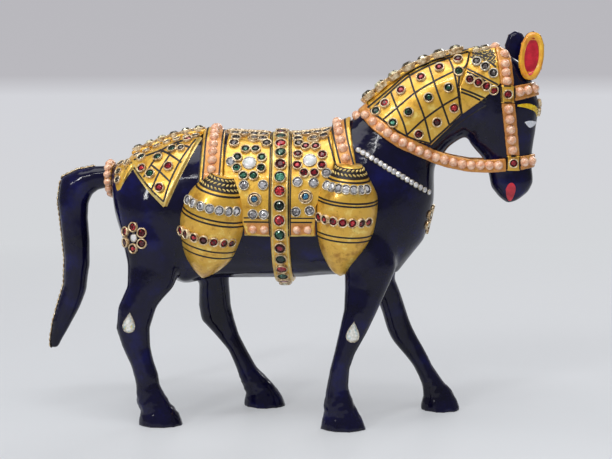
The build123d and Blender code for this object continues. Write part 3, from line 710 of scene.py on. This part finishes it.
def cup_model(cup_reach, stone_reach, foot, rise, lip=0.60):
    """A round cup with a thick rolled lip, and the stone sunk in its mouth, with a dark ring of painted
    shade round the stone.
    """
    model = Model()
    wall = cup_reach - stone_reach
    brim = (cup_reach - wall * 0.70, lip * 0.74)
    model.turned([
        (cup_reach * 0.94, -0.30), (cup_reach * 0.98, 0.10), (cup_reach, lip * 0.72),
        (cup_reach - wall * 0.12, lip * 0.93), (cup_reach - wall * 0.34, lip),
        (cup_reach - wall * 0.56, lip * 0.92), brim,
    ], 22, metal)
    # The dark ring inside the lip, round the stone: painted shade
    model.turned([brim, (stone_reach * 0.97, foot - 0.04)], 22, shade)
    model.cut_stone(stone_reach, foot, rise)
    return model


def ringed_model():
    """A stone in its cup inside a second, wider ring of gold."""
    model = cup_model(0.70, 0.50, 0.24, 0.26, 0.46)
    outer = [(1.14, -0.2), (1.18, 0.12), (1.16, 0.26), (1.08, 0.32), (1.00, 0.26), (0.98, 0.12)]
    model.turned(outer, 26, metal)
    # The dark ring between the outer ring and the cup: painted shade
    model.turned([(0.98, 0.12), (0.90, 0.05)], 26, shade)
    model.turned([(0.90, 0.05), (0.68, 0.10)], 26, metal)
    return model


def dome_model(reach, rise, foot=-0.1):
    model = Model()
    rows = 7
    lifts = [pi / 2 * row / rows for row in range(rows)]
    rings = [ring(reach * cos(lift), foot + (rise - foot) * sin(lift), 20) for lift in lifts]
    model.band(rings, 0, close=True)
    return model


def set_dome_model():
    """A milky dome in a narrow saw-edged cup."""
    model = dome_model(0.90, 0.40, 0.05)
    collar = []
    for height, reach in ((-0.2, 1.0), (0.10, 1.04), (0.24, 0.98), (0.22, 0.88)):
        collar.append([
            (x * (1.02 if i % 2 else 0.98), y * (1.02 if i % 2 else 0.98), z)
            for i, (x, y, z) in enumerate(ring(reach, height, 40))
        ])
    model.band(collar, metal)
    return model


def chain_model():
    """A chain stone in a low cup, on a dark disc that shows in the gaps beside it as painted shade."""
    model = Model()
    # The dark disc under the cup: painted shade in the gaps between stones
    model.turned([(1.20, -0.2), (1.20, 0.10), (1.02, 0.14)], 12, shade)
    model.turned([(1.02, 0.10), (1.02, 0.34), (0.86, 0.44)], 12, metal)
    model.cut_stone(0.88, 0.36, 0.30)
    return model


def drop_model():
    """A cut drop in a thin collar."""
    model = Model()
    collar = [drop_ring(1.05, -0.1), drop_ring(1.08, 0.10), drop_ring(1.02, 0.16), drop_ring(0.97, 0.12)]
    model.band(collar, metal)
    rings = [drop_ring(0.97, 0.10), drop_ring(0.78, 0.26), drop_ring(0.48, 0.36)]
    model.band(rings, 0, False, True)
    return model


def stones_at(name, slot, seats, model, materials, cup=cup_gold, scale=1.0, spin=0.6, sparkle=0.5):
    """Sets a model down at every seat. Each stone takes one of the shaded, middle and lit copies of its
    colour, and the share sparkle of its facets a copy of their own: painted shade and painted glints.
    """
    weights = (6, 6, 2)[:len(materials)]
    tones = range(len(materials))
    chance = random.Random(len(name) * 7 + 3)
    points = []
    faces = []
    kinds = []
    for seat in seats:
        turn = spin * chance.uniform(-1, 1)
        x_way = seat.long_way * cos(turn) + seat.axis.cross(seat.long_way) * sin(turn)
        y_way = seat.axis.cross(x_way)
        first = len(points)
        size = seat.reach * scale * chance.uniform(0.985, 1.0)
        for x, y, z in model.points:
            points.append(seat.centre + (x_way * x + y_way * y + seat.axis * z) * size)
        # A shaded, middle or lit copy for the whole stone, and for some facets one of their own: painted
        # shade and painted glints
        whole_tone = chance.choices(tones, weights=weights)[0]
        for face, kind in zip(model.faces, model.kinds):
            faces.append(tuple(first + index for index in face))
            if kind >= metal:
                kinds.append(len(materials) + kind - metal)
            elif len(materials) == 1:
                kinds.append(0)
            else:
                own = chance.choices(tones, weights=weights)[0]
                kinds.append(own if chance.random() < sparkle else whole_tone)
    # The last finish, the dark line paint, fills the cups' mouths and the gaps between stones as painted
    # shade
    finishes = [*materials, cup, line_and_shade_paint]
    mesh = mesh_of(name, inside_box(points), faces, finishes, model.smooth * len(seats))
    mesh.polygons.foreach_set("material_index", kinds)
    return piece_of(name, mesh)


def set_stones(node_name, *finish, **ways):
    """Stands for a node of stones, each in its own place."""
    stones = stones_at(node_name + "_set", slot_of[node_name], seats_of(node_name), *finish, **ways)
    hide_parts(node_name)


single = cup_model(1.10, 0.68, 0.28, 0.26, 0.62)
wide = cup_model(1.08, 0.78, 0.28, 0.26, 0.56)
ringed = ringed_model()
round_pearl = dome_model(1.0, 0.95)
ring_pearl = dome_model(1.05, 1.0)
big_dome = set_dome_model()
chain_stone = chain_model()
crystal = cup_model(1.04, 0.84, 0.22, 0.50, 0.40)
pearls = [pearl]
silver_cupped = (
    "flower_centres", "saddle_stones_clear", "pot_stones_clear", "poll_stones_clear", "hip_stones_clear",
)

for node_name, model, materials, scale in (
    ("girth_stones_green", wide, emeralds, 1.10),
    ("girth_stones_red", wide, rubies, 1.10),
    ("flower_centres", big_dome, [opal], 1.0),
    ("flower_stones_green", single, emeralds, 1.14),
    ("flower_stones_red", single, rubies, 1.14),
    ("saddle_stones_clear", wide, clears, 1.16),
    ("saddle_stones_blue", ringed, blues, 1.14),
    ("saddle_stones_ringed", ringed, smokes, 1.14),
    ("saddle_stones_top", single, smokes, 1.2),
    ("hem_pearls", round_pearl, pearls, 1.12),
    ("strap_pearls_rear", round_pearl, pearls, 1.30),
    ("strap_pearls_front", round_pearl, pearls, 1.30),
    ("pot_stones_clear", wide, clears, 1.24),
    ("pot_stones_red", single, rubies, 1.24),
    ("neck_stones_red", single, rubies, 1.14),
    ("neck_stones_green", single, emeralds, 1.14),
    ("poll_stones_clear", single, smokes, 1.22),
    ("poll_stones_red", single, rubies, 1.22),
    ("crest_crystals", crystal, champagnes, 1.16),
    ("croup_stones_red", single, rubies, 1.14),
    ("croup_stones_green", single, emeralds, 1.14),
    ("croup_crystals", crystal, champagnes, 1.05),
    ("rein_pearls", round_pearl, pearls, 1.26),
    ("bridle_pearls", round_pearl, pearls, 1.26),
    ("rosette_stones_upper", single, rubies, 1.08),
    ("rosette_stones_lower", single, rubies, 1.08),
    ("crupper_pearls", ring_pearl, pearls, 1.1),
    ("tail_chain", chain_stone, champagnes, 1.2),
    ("hip_stones_red", single, rubies, 1.28),
    ("hip_stones_clear", big_dome, [opal], 1.0),
    ("chest_stones", wide, champagnes, 1.2),
    ("forehead_stones", single, champagnes, 1.1),
):
    cup = cup_silver if node_name in silver_cupped else cup_gold
    set_stones(node_name, model, materials, cup, scale)
set_stones("necklace", chain_stone, clears[1:], cup_silver, 1.12, sparkle=0.3)
set_stones("leg_drops", drop_model(), auroras, cup_silver, spin=0)

# Where rays from outside start: above the ground, beside the centre plane, round the barrel
above = 0.2
beside = 0.06
around = 0.05


def top_seats(places, reach):
    """Seats under places given as an x share and the mm from the centre plane."""
    down = Vector((0, 0, -1))
    return [seat_under(Vector((along(x_share), y * mm, above)), down, reach) for x_share, y in places]


# Small stones and pearls that crowd the top line, beside those of the frame
saddle_top_shares = (-12.2, -10.3, -8.4, -6.5, 0.3, 2.2, 4.1, 6.0)
saddle_top_places = [(x_share, side * 5.2) for x_share in saddle_top_shares for side in sides]
saddle_top_places += [(x_share - 0.9, side * 1.7) for x_share in saddle_top_shares for side in sides]
saddle_top_places += [(x_share, side * 8.6) for x_share in (-11.8, -6.5, 0.4, 5.5) for side in sides]
top_pearl_places = [
    (11.6, 0), (11.8, 3.4), (11.8, -3.4), (38.6, 0), (38.5, 3.2), (38.5, -3.2),
]
saddle_top_seats = top_seats(saddle_top_places, 1.85)
poll_top_seats = top_seats([(34.9, 0), (36.6, 0)], 2.6)
stones_at("saddle_top_cups", "clear_stone", saddle_top_seats, single, smokes[:2])
stones_at("poll_top_cups", "champagne_stone", poll_top_seats, crystal, champagnes)
stones_at("top_pearls", "pearl", top_seats(top_pearl_places, 1.8), round_pearl, pearls)

croup_cup_places = [
    (-35.2, 66.2), (-35.2, 64.3), (-35.1, 62.4), (-33.6, 66.6), (-31.9, 68.4), (-30.0, 69.4), (-28.0, 70.6),
    (-26.0, 71.6), (-24.0, 72.3), (-22.0, 72.9), (-20.2, 73.2), (-22.5, 70.3),
]
croup_seats = [
    seat_under(Vector((along(x_share), side * beside, up(z_share))), Vector((0, -side, 0)), 1.5)
    for x_share, z_share in croup_cup_places for side in sides
]
stones_at("croup_cups", "clear_stone", croup_seats, single, [smokes[0], champagnes[0], smokes[1]])


# Painted and laid-on work, as thin sheets a hair above what carries them
class Layer:
    """Strips of one finish, gathered into one piece, with their lift in mm."""

    widest_face = 4 * mm

    def __init__(self, name, material, slot="gilt", lift=0.09):
        self.name = name
        self.material = material
        self.slot = slot
        self.lift = lift * mm
        self.points = []
        self.faces = []

    def sheet(self, rows, closed=False):
        """Faces between rows of points; a missing point or too wide a face leaves a gap."""
        first = len(self.points)
        flat = [point for row in rows for point in row]
        self.points += flat
        for quad in quads(len(rows), len(rows[0]), closed):
            corners = [flat[index] for index in quad]
            if None in corners:
                continue
            if max((corners[k] - corners[k - 2]).length for k in range(4)) <= self.widest_face:
                self.faces.append(tuple(first + index for index in quad))

    def finish(self):
        used = sorted({index for face in self.faces for index in face})
        place = {index: number for number, index in enumerate(used)}
        points = inside_box([self.points[index] for index in used])
        faces = [tuple(place[index] for index in face) for face in self.faces]
        piece_of(self.name, mesh_of(self.name, points, faces, [self.material]))


def lifted(tree, start, direction, lift, reach=0.1):
    """The point a hair above the first surface that a ray meets."""
    hit, normal = tree.ray_cast(start, direction, reach)[:2]
    if hit is None:
        return None
    outward = normal if normal.dot(direction) < 0 else -normal
    return hit + (outward - direction).normalized() * lift


def side_point(tree, x, z, side, lift):
    """The point of a side view place on one side of the horse."""
    return lifted(tree, Vector((x, side * beside, z)), Vector((0, -side, 0)), lift, beside)


def placed(places):
    return [(along(x_share), up(z_share)) for x_share, z_share in places]


# Across a painted strip: shares of its half width, and of its lift there
strip_section = ((-1, 0.4), (-0.5, 0.9), (0, 1), (0.5, 0.9), (1, 0.4))
line_width = 0.72


def stroke(layer, places, width=line_width, ends=1.0):
    """A line, some mm wide, through side view places on each side; it may thin out at its ends."""
    corners = placed(places)
    length = sum(dist(a, b) for a, b in zip(corners, corners[1:]))
    line = smooth_line(corners, max(2, round(length / len(corners) / (0.7 * mm))))
    last = len(line) - 1
    for side in sides:
        rows = []
        for index, (x, z) in enumerate(line):
            way = line[min(index + 1, last)] - line[max(index - 1, 0)]
            way = way / np.linalg.norm(way)
            half = width * mm / 2 * (ends + (1 - ends) * sin(pi * (index / last)))
            row = []
            for aside, rise in strip_section:
                edge_x = x - way[1] * aside * half
                edge_z = z + way[0] * aside * half
                row.append(side_point(body_tree, edge_x, edge_z, side, layer.lift * rise))
            rows.append(row)
        layer.sheet(rows)


def patch(layer, corners, tree=body_tree, on_sides=sides, fine=4):
    """A painted field inside a closed outline, which drops to the ground at its edge."""
    outline = smooth_line([*corners, corners[0]], fine)[:-1]
    middle = sum(outline) / len(outline)
    for side in on_sides:
        rows = []
        for scale in (1.0, 0.97, 0.93, 0.87, 0.78, 0.6, 0.4, 0.2, 0.0):
            drop = min(0.06 * mm, 0.6 * layer.lift) if scale == 1.0 else 0
            rows.append([
                side_point(tree, *(middle + (point - middle) * scale), side, layer.lift - drop)
                for point in outline
            ])
        layer.sheet(rows, closed=True)


# Middle of the barrel, as a share of the height
barrel_middle_share = 55.1


def wrap(layer, line, shift, width, lean):
    """A line round the barrel, some mm beside one of the side view; lean is in degrees each way."""
    top_place, foot_place, stands_back = line
    half_height = horse_height * (top_place[1] - barrel_middle_share) / percent
    drop = horse_height * (top_place[1] - foot_place[1]) / percent
    rows = []
    for degrees in range(-lean, lean + 1, 2):
        turn = radians(degrees)
        level = up(barrel_middle_share) + half_height * cos(turn)
        part_way = (up(top_place[1]) - level) / drop
        x = along(top_place[0] + (foot_place[0] - top_place[0]) * part_way) + shift * mm
        aside_way = barrel_width / 2 * sin(turn)
        if stands_back:
            x += upright(0, aside_way, level)
        direction = Vector((0, aside_way, half_height * cos(turn))).normalized()
        row = []
        for aside, rise in strip_section:
            edge = Vector((x + aside * (width * mm) / 2, 0, up(barrel_middle_share)))
            start = edge + direction * around
            row.append(lifted(body_tree, start, -direction, layer.lift * rise))
        rows.append(row)
    layer.sheet(rows)


lines = Layer("painted_lines", line_and_shade_paint)
flaps = Layer("leaf_fields", gilt)
fields = Layer("amber_fields", amber, lift=0.06)
pale = Layer("pale_borders", pale_gilt)
eye_whites = Layer("eye_whites", white_paint, "enamel")
brows = Layer("painted_brows", yellow_paint, "enamel")
mouth = Layer("painted_mouth", red_paint, "enamel")
ear_rims = Layer("ear_rims", ochre_paint, "enamel", 0.28)
ear_leaves = Layer("ear_leaves", red_paint, "enamel", 0.45)
plaits = Layer("pot_plaits", pale_gilt)

line_places = [
    # Neck cloth: a crossed net of lines, with a border along each edge
    [(18.4, 84.3), (19.6, 80.5), (20.9, 76.8), (21.7, 73.5)],
    [(21.9, 88.7), (23.0, 84.3), (24.9, 78.2), (26.3, 71.7)],
    [(25.8, 90.4), (27.3, 84.6), (28.7, 79.9), (29.8, 76.1)],
    [(29.4, 93.2), (30.4, 89.8), (31.3, 84.6), (31.7, 81.2), (32.2, 78.9)],
    [(16.8, 77.3), (19.5, 80.2), (23.2, 84.1), (27.0, 87.0), (30.6, 89.3)],
    [(21.7, 73.9), (24.9, 77.6), (28.7, 81.1), (31.5, 83.1)],
    [(26.3, 72.0), (29.8, 76.1), (32.0, 78.9)],
    [(14.4, 79.5), (18.1, 84.0), (21.9, 88.1), (25.9, 90.8), (29.4, 92.5), (33.4, 94.2)],
    [(13.9, 80.4), (18.1, 84.9), (21.9, 89.0), (25.9, 91.6), (29.4, 93.2), (33.4, 94.9)],
    [(14.5, 79.5), (17.1, 77.3), (19.5, 75.0), (22.3, 73.1), (26.3, 71.6)],
    # Poll cloth: two bands of stones between dark double lines
    [(33.6, 94.0), (32.9, 90.8), (31.7, 88.9), (31.5, 85.0), (32.1, 79.0)],
    [(33.0, 89.9), (35.6, 88.2), (38.9, 85.9)],
    [(33.0, 89.1), (35.6, 87.5), (38.6, 85.2)],
    [(31.9, 85.0), (34.0, 84.0), (36.9, 82.4)],
    [(31.9, 84.2), (34.0, 83.2), (36.6, 81.6)],
    [(33.7, 92.7), (35.6, 92.4), (37.4, 91.3), (38.5, 90.2)],
    # Croup cloth: a net inside a pale border
    [(-31.8, 65.6), (-27.6, 60.3), (-25.1, 57.5)],
    [(-25.1, 57.5), (-24.1, 61.9), (-22.6, 66.6), (-21.0, 70.3), (-19.9, 72.6)],
    [(-24.6, 68.9), (-26.2, 64.9), (-27.6, 60.4)],
    [(-26.4, 69.7), (-28.2, 66.3), (-29.4, 63.3)],
    [(-23.5, 71.4), (-24.9, 68.8)],
    [(-26.4, 69.7), (-24.7, 68.9), (-22.0, 67.0)],
    [(-28.1, 66.3), (-26.2, 64.7), (-23.8, 62.2)],
    [(-23.6, 71.5), (-20.6, 70.6)],
    [(-32.3, 67.4), (-30.1, 68.3), (-27.0, 69.7), (-24.1, 71.6), (-21.4, 72.6)],
    [(-35.3, 61.4), (-34.1, 64.1), (-32.6, 66.8)],
    # Bridle: dark edges round the rosettes
    [(39.4, 85.6), (42.0, 85.7)],
    [(39.5, 81.6), (42.2, 81.6)],
    [(42.05, 85.5), (42.15, 81.8)],
    [(39.45, 85.5), (39.6, 81.8)],
    [(40.9, 68.6), (43.4, 68.6)],
    [(43.45, 68.4), (43.5, 65.3)],
    [(40.95, 68.4), (40.95, 65.3)],
]

for places in line_places:
    stroke(lines, places)
stroke(lines, [(26.6, 71.2), (29.6, 74.3), (32.5, 77.4), (36.8, 81.0)], 0.5)
for drop in (0.0, 1.1, 2.2):
    stroke(lines, [(34.1, 95.2 - drop), (36.2, 94.7 - drop), (38.3, 93.4 - drop)], 2.0)
stroke(pale, [(-32.2, 66.0), (-28.6, 61.1), (-24.9, 56.5)], 1.7)
stroke(pale, [(-24.9, 56.5), (-22.2, 64.4), (-19.2, 73.0)], 1.7)
stroke(pale, [(-34.8, 60.2), (-33.6, 63.0), (-32.3, 65.6)], 1.4)

# The small flap of the croup cloth beside the tail ring
flap_places = [
    (-36.3, 66.6), (-33.9, 67.6), (-32.3, 65.8), (-33.3, 63.0), (-34.5, 60.3), (-35.3, 60.0), (-36.2, 63.3),
]
patch(flaps, placed(flap_places))

# Saddle cloth: a double line over an amber hem, with a pale edge
for rear_x, front_x in ((-9.4, -4.5), (-0.4, 4.3)):
    for layer, z_share, width in (
        (fields, 51.0, 4.6), (lines, 52.8, 0.6), (lines, 53.8, 0.5), (pale, 49.5, 0.5),
    ):
        stroke(layer, [(rear_x, z_share), (front_x, z_share)], width)

# Straps and girth, over the back
rear_line = ((-15.5, 73.3), (-15.9, 64.0), True)
front_line = ((8.1, 74.0), (10.1, 67.0), False)
girth_line = ((-2.45, 73.0), (-2.45, 55.1), True)
for layer, line, shifts, width, lean in (
    (fields, rear_line, (0,), 5.6, 66),
    (lines, rear_line, (-3.0, 3.1, -4.7), line_width, 70),
    (fields, front_line, (0,), 4.2, 62),
    (lines, front_line, (-2.4, 2.4, -4.2), line_width, 64),
    (lines, girth_line, (-3.15, 3.15), 0.6, 108),
    (lines, girth_line, (-3.85, 3.85), 0.55, 108),
    (pale, girth_line, (-2.75, 2.75), 0.6, 180),
):
    for shift in shifts:
        wrap(layer, line, shift, width, lean)

# Face
eye_places = [
    (44.2, 76.9), (45.1, 77.2), (46.2, 77.1), (46.8, 76.8), (46.2, 76.0), (45.4, 75.5), (44.8, 76.0),
]
mouth_places = [
    (40.9, 60.4), (41.5, 61.8), (42.3, 61.9), (42.8, 60.6), (42.5, 58.6), (41.9, 57.3), (41.2, 58.2),
]
patch(eye_whites, placed(eye_places))
stroke(brows, [(42.7, 80.9), (44.4, 80.9), (45.9, 80.4), (46.8, 79.4), (47.1, 77.6)], 2.0, ends=0.3)
patch(mouth, placed(mouth_places))

# Ears: a yellow rim round a red leaf, on the outward face
ear_ends = {right: ((44.9, 86.7), (45.7, 98.8)), left: ((43.5, 87.2), (42.7, 98.8))}
ear_length = 18.6 * mm
leaf_corners = 28


def ear_leaf(side, foot_share, tip_share, width, point=0.8):
    """A leaf along an ear, from one share of its length to another."""
    foot, tip = np.array(placed(ear_ends[side]))
    way = (tip - foot) / np.linalg.norm(tip - foot)
    across_way = np.array((-way[1], way[0]))
    corners = []
    for step in range(leaf_corners):
        angle = 2 * pi * step / leaf_corners
        bulge = copysign(abs(sin(angle)) ** point, sin(angle)) * width / 2
        length = (foot_share + (tip_share - foot_share) * (1 - cos(angle)) / 2) * ear_length
        corners.append(foot + way * length + across_way * bulge)
    return corners


for side in sides:
    patch(ear_rims, ear_leaf(side, 0.005, 0.995, 9.1 * mm), ear_trees[side], [side], 2)
    patch(ear_leaves, ear_leaf(side, 0.12, 0.86, 5.2 * mm, 1.2), ear_trees[side], [side], 2)

# Pots: dark lines round them, and a plaited neck
pot_line_shares = {
    "rear": (66.0, 62.4, 36.0, 29.5, 87.0, 90.2, 93.4),
    "front": (72.3, 69.6, 42.2, 38.0, 88.4, 91.4),
}
plait_shares = {"rear": (91.8, 95.4, 98.6), "front": (93.8, 97.4)}
half_turn = radians(112)
half_steps = 28
plait_pitch = 1.5 * mm


def pot_band(pot, low_share, high_share, lift):
    """A dark band round the outer wall of a pot."""
    rows = []
    for step in range(2 * half_steps + 1):
        turn = half_turn * (step / half_steps - 1)
        rows.append([
            pot.wall(low_share + (high_share - low_share) * (1 + aside) / 2, turn, lift * rise)
            for aside, rise in strip_section
        ])
    lines.sheet(rows)


def grain(centre, way, cross_way, out_way, lean, half_sizes):
    """A small round-backed grain that leans from one way towards another."""
    long_half, wide_half, rise = half_sizes
    long_way = (way + cross_way * lean).normalized()
    wide_way = out_way.cross(long_way)
    rows = []
    for height in (0.0, 0.45, 0.8, 1.0):
        reach = sqrt(1 - height * height)
        rows.append([
            centre + long_way * (long_half * x) + wide_way * (wide_half * y) + out_way * (rise * height)
            for x, y, _ in ring(reach, 0, 8)
        ])
    plaits.sheet(rows, closed=True)


for (pot_name, side), pot in pots.items():
    half = 0.33 * mm / pot.height * percent
    for share in pot_line_shares[pot_name]:
        pot_band(pot, share - half, share + half, 0.09 * mm)
    rows = plait_shares[pot_name]
    pot_band(pot, rows[0] - 1.8, rows[-1] + 1.6, 0.05 * mm)
    for row, share in enumerate(rows):
        wall = pot.wall(share, 0)
        radius = (wall - pot.tip - pot.axis * (wall - pot.tip).dot(pot.axis)).length
        count = round(2 * half_turn * radius / plait_pitch)
        for index in range(count):
            turn = half_turn * (2 * (index + 0.5) / count - 1)
            up_way = (pot.wall(share + 1, turn) - pot.wall(share - 1, turn)).normalized()
            out_way = pot.outward * cos(turn) + pot.sideways * sin(turn)
            round_way = up_way.cross(out_way).normalized()
            out_way = round_way.cross(up_way).normalized()
            lean = 0.75 if row % 2 else -0.75
            half_sizes = (0.78 * mm, 0.36 * mm, 0.30 * mm)
            grain(pot.wall(share, turn, 0.02 * mm), round_way, up_way, out_way, lean, half_sizes)

# Curls of mane between the crest and the headstall
curl_chance = random.Random(11)
near = 0.4 * mm
for side in sides:
    for row, z_share in enumerate((95.6, 94.9, 94.2, 93.5, 92.8)):
        for index in range(8):
            x = along(34.0 + row * 0.1 + index * 0.56 + curl_chance.uniform(-0.12, 0.12))
            z = up(z_share - index * 0.22 + curl_chance.uniform(-0.2, 0.2))
            spots = [
                side_point(body_tree, x + aside, z + rise, side, 0.03 * mm)
                for aside, rise in ((0, 0), (near, 0), (0, near))
            ]
            if None in spots:
                continue
            centre, ahead, over = spots
            ahead_way = (ahead - centre).normalized()
            out_way = ahead_way.cross(over - centre).normalized() * -side
            up_way = out_way.cross(ahead_way).normalized()
            lean = curl_chance.uniform(-1.1, 1.1)
            grain(centre, ahead_way, up_way, out_way, lean, (0.62 * mm, 0.24 * mm, 0.25 * mm))

for layer in (lines, flaps, fields, pale, eye_whites, brows, mouth, ear_rims, ear_leaves, plaits):
    layer.finish()


# Stage, light and camera
def plane_piece(name, corners, material):
    show(name, mesh_of(name, corners, [(0, 1, 2, 3)], [material]))


def tones_along(m, axis, stops):
    """A tone that drifts softly along one axis; the stops' places are in metres."""
    low, high = stops[0][0], stops[-1][0]
    share = m.spread(m.part(axis), 0, 1, low, high)
    return m.ramp(share, [((position - low) / (high - low), tone) for position, tone in stops])


def glow_for_eyes(m, tone, share=None):
    """Shows a set tone to the camera and the gloss, and is an ordinary surface to the light."""
    glow = m.node("ShaderNodeEmission", {"Color": tone})
    rays = m.node("ShaderNodeLightPath").outputs
    seen = m.combine("MAXIMUM", rays["Is Camera Ray"], rays["Is Glossy Ray"])
    seen = m.combine("MAXIMUM", seen, rays["Is Transmission Ray"])
    if share is not None:
        seen = m.combine("MULTIPLY", seen, share)
    surfaces = {"Fac": seen, 1: m.shader.outputs["BSDF"], 2: glow.outputs["Emission"]}
    mix = m.node("ShaderNodeMixShader", surfaces)
    m.feed(m.tree.nodes["Material Output"], {"Surface": mix.outputs["Shader"]})


def floor_material():
    """A pale floor that keeps shadows near the object and fades into the backdrop."""
    m = Nodes("pale_floor")
    m.dress(
        Base_Color=tones_along(m, "Y", [
            (-0.4, (216, 218, 222)), (0.0, (216, 219, 223)), (0.3, (226, 228, 232)), (1.3, (234, 235, 238)),
        ]),
        Roughness=m.spread(m.noise(50), 0.30, 0.45),
        Specular_IOR_Level=0.3,
    )
    far_tone = tones_along(m, "Y", [(0.0, (214, 216, 219)), (0.7, (212, 214, 217)), (1.3, (212, 213, 217))])
    glow_for_eyes(m, far_tone, m.spread(m.part("Y"), 0.4, 1, 0.12, 0.55))
    return m.material


def wall_material():
    m = Nodes("pale_wall")
    cloudy = tones_along(m, "Z", [
        (0.0, (212, 213, 217)), (0.135, (211, 212, 217)), (0.165, (186, 185, 190)), (0.40, (184, 183, 188)),
    ])
    m.dress(Base_Color=cloudy, Roughness=m.spread(m.noise(50), 0.6, 0.8))
    glow_for_eyes(m, cloudy)
    return m.material


room_side = 2.5
room_front = -1.6
room_back = 1.3
wall_height = 1.6
near_edge = [(-room_side, room_front, 0), (room_side, room_front, 0)]
far_edge = [(room_side, room_back, 0), (-room_side, room_back, 0)]
top_edge = [(room_side, room_back, wall_height), (-room_side, room_back, wall_height)]
plane_piece("floor", near_edge + far_edge, floor_material())
plane_piece("wall", far_edge[::-1] + top_edge, wall_material())

world = bpy.data.worlds.new("room")
bpy.context.scene.world = world
world.use_nodes = True
background = world.node_tree.nodes["Background"]
background.inputs["Color"].default_value = paint(228, 230, 236)
background.inputs["Strength"].default_value = 0.28


def stand(thing, place, way):
    """Sets a lamp or the camera at a place, to look along a way."""
    thing.location = place
    thing.rotation_mode = "QUATERNION"
    thing.rotation_quaternion = way.to_track_quat("-Z", "Y")


def lamp(name, place, aim, size, energy):
    light = bpy.data.lights.new(name, "AREA")
    light.shape = "RECTANGLE"
    light.size, light.size_y = size
    light.energy = energy
    stand(show(name, light), place, Vector(aim) - Vector(place))


horse_middle = (0, 0, 0.08)
lamp("ceiling_panel", (-0.1, -0.2, 0.95), (0, 0.05, 0.05), (0.9, 0.6), 4.8)
lamp("front_tube", (-0.12, -0.62, 0.66), horse_middle, (0.42, 0.014), 1.0)
lamp("high_tube", (0.10, -0.28, 0.86), horse_middle, (0.42, 0.014), 1.0)
lamp("window", (-0.42, -0.62, 0.46), horse_middle, (0.06, 0.20), 1.5)
lamp("back_panel", (0.35, 0.65, 0.55), horse_middle, (0.45, 0.15), 1.8)

camera_turn = radians(5)
camera_rise = radians(6)
camera_distance = 0.45
camera_target = Vector((0.00707, 0, 0.0729))
camera_back = Vector((
    sin(camera_turn) * cos(camera_rise),
    -cos(camera_turn) * cos(camera_rise),
    sin(camera_rise),
))
camera_data = bpy.data.cameras.new("camera")
camera_data.sensor_width = 36
camera_data.lens = 69.35
camera_data.clip_start = 0.01
camera = show("camera", camera_data)
bpy.context.scene.camera = camera
stand(camera, camera_target + camera_back * camera_distance, -camera_back)

bpy.context.scene.view_settings.view_transform = "Standard"
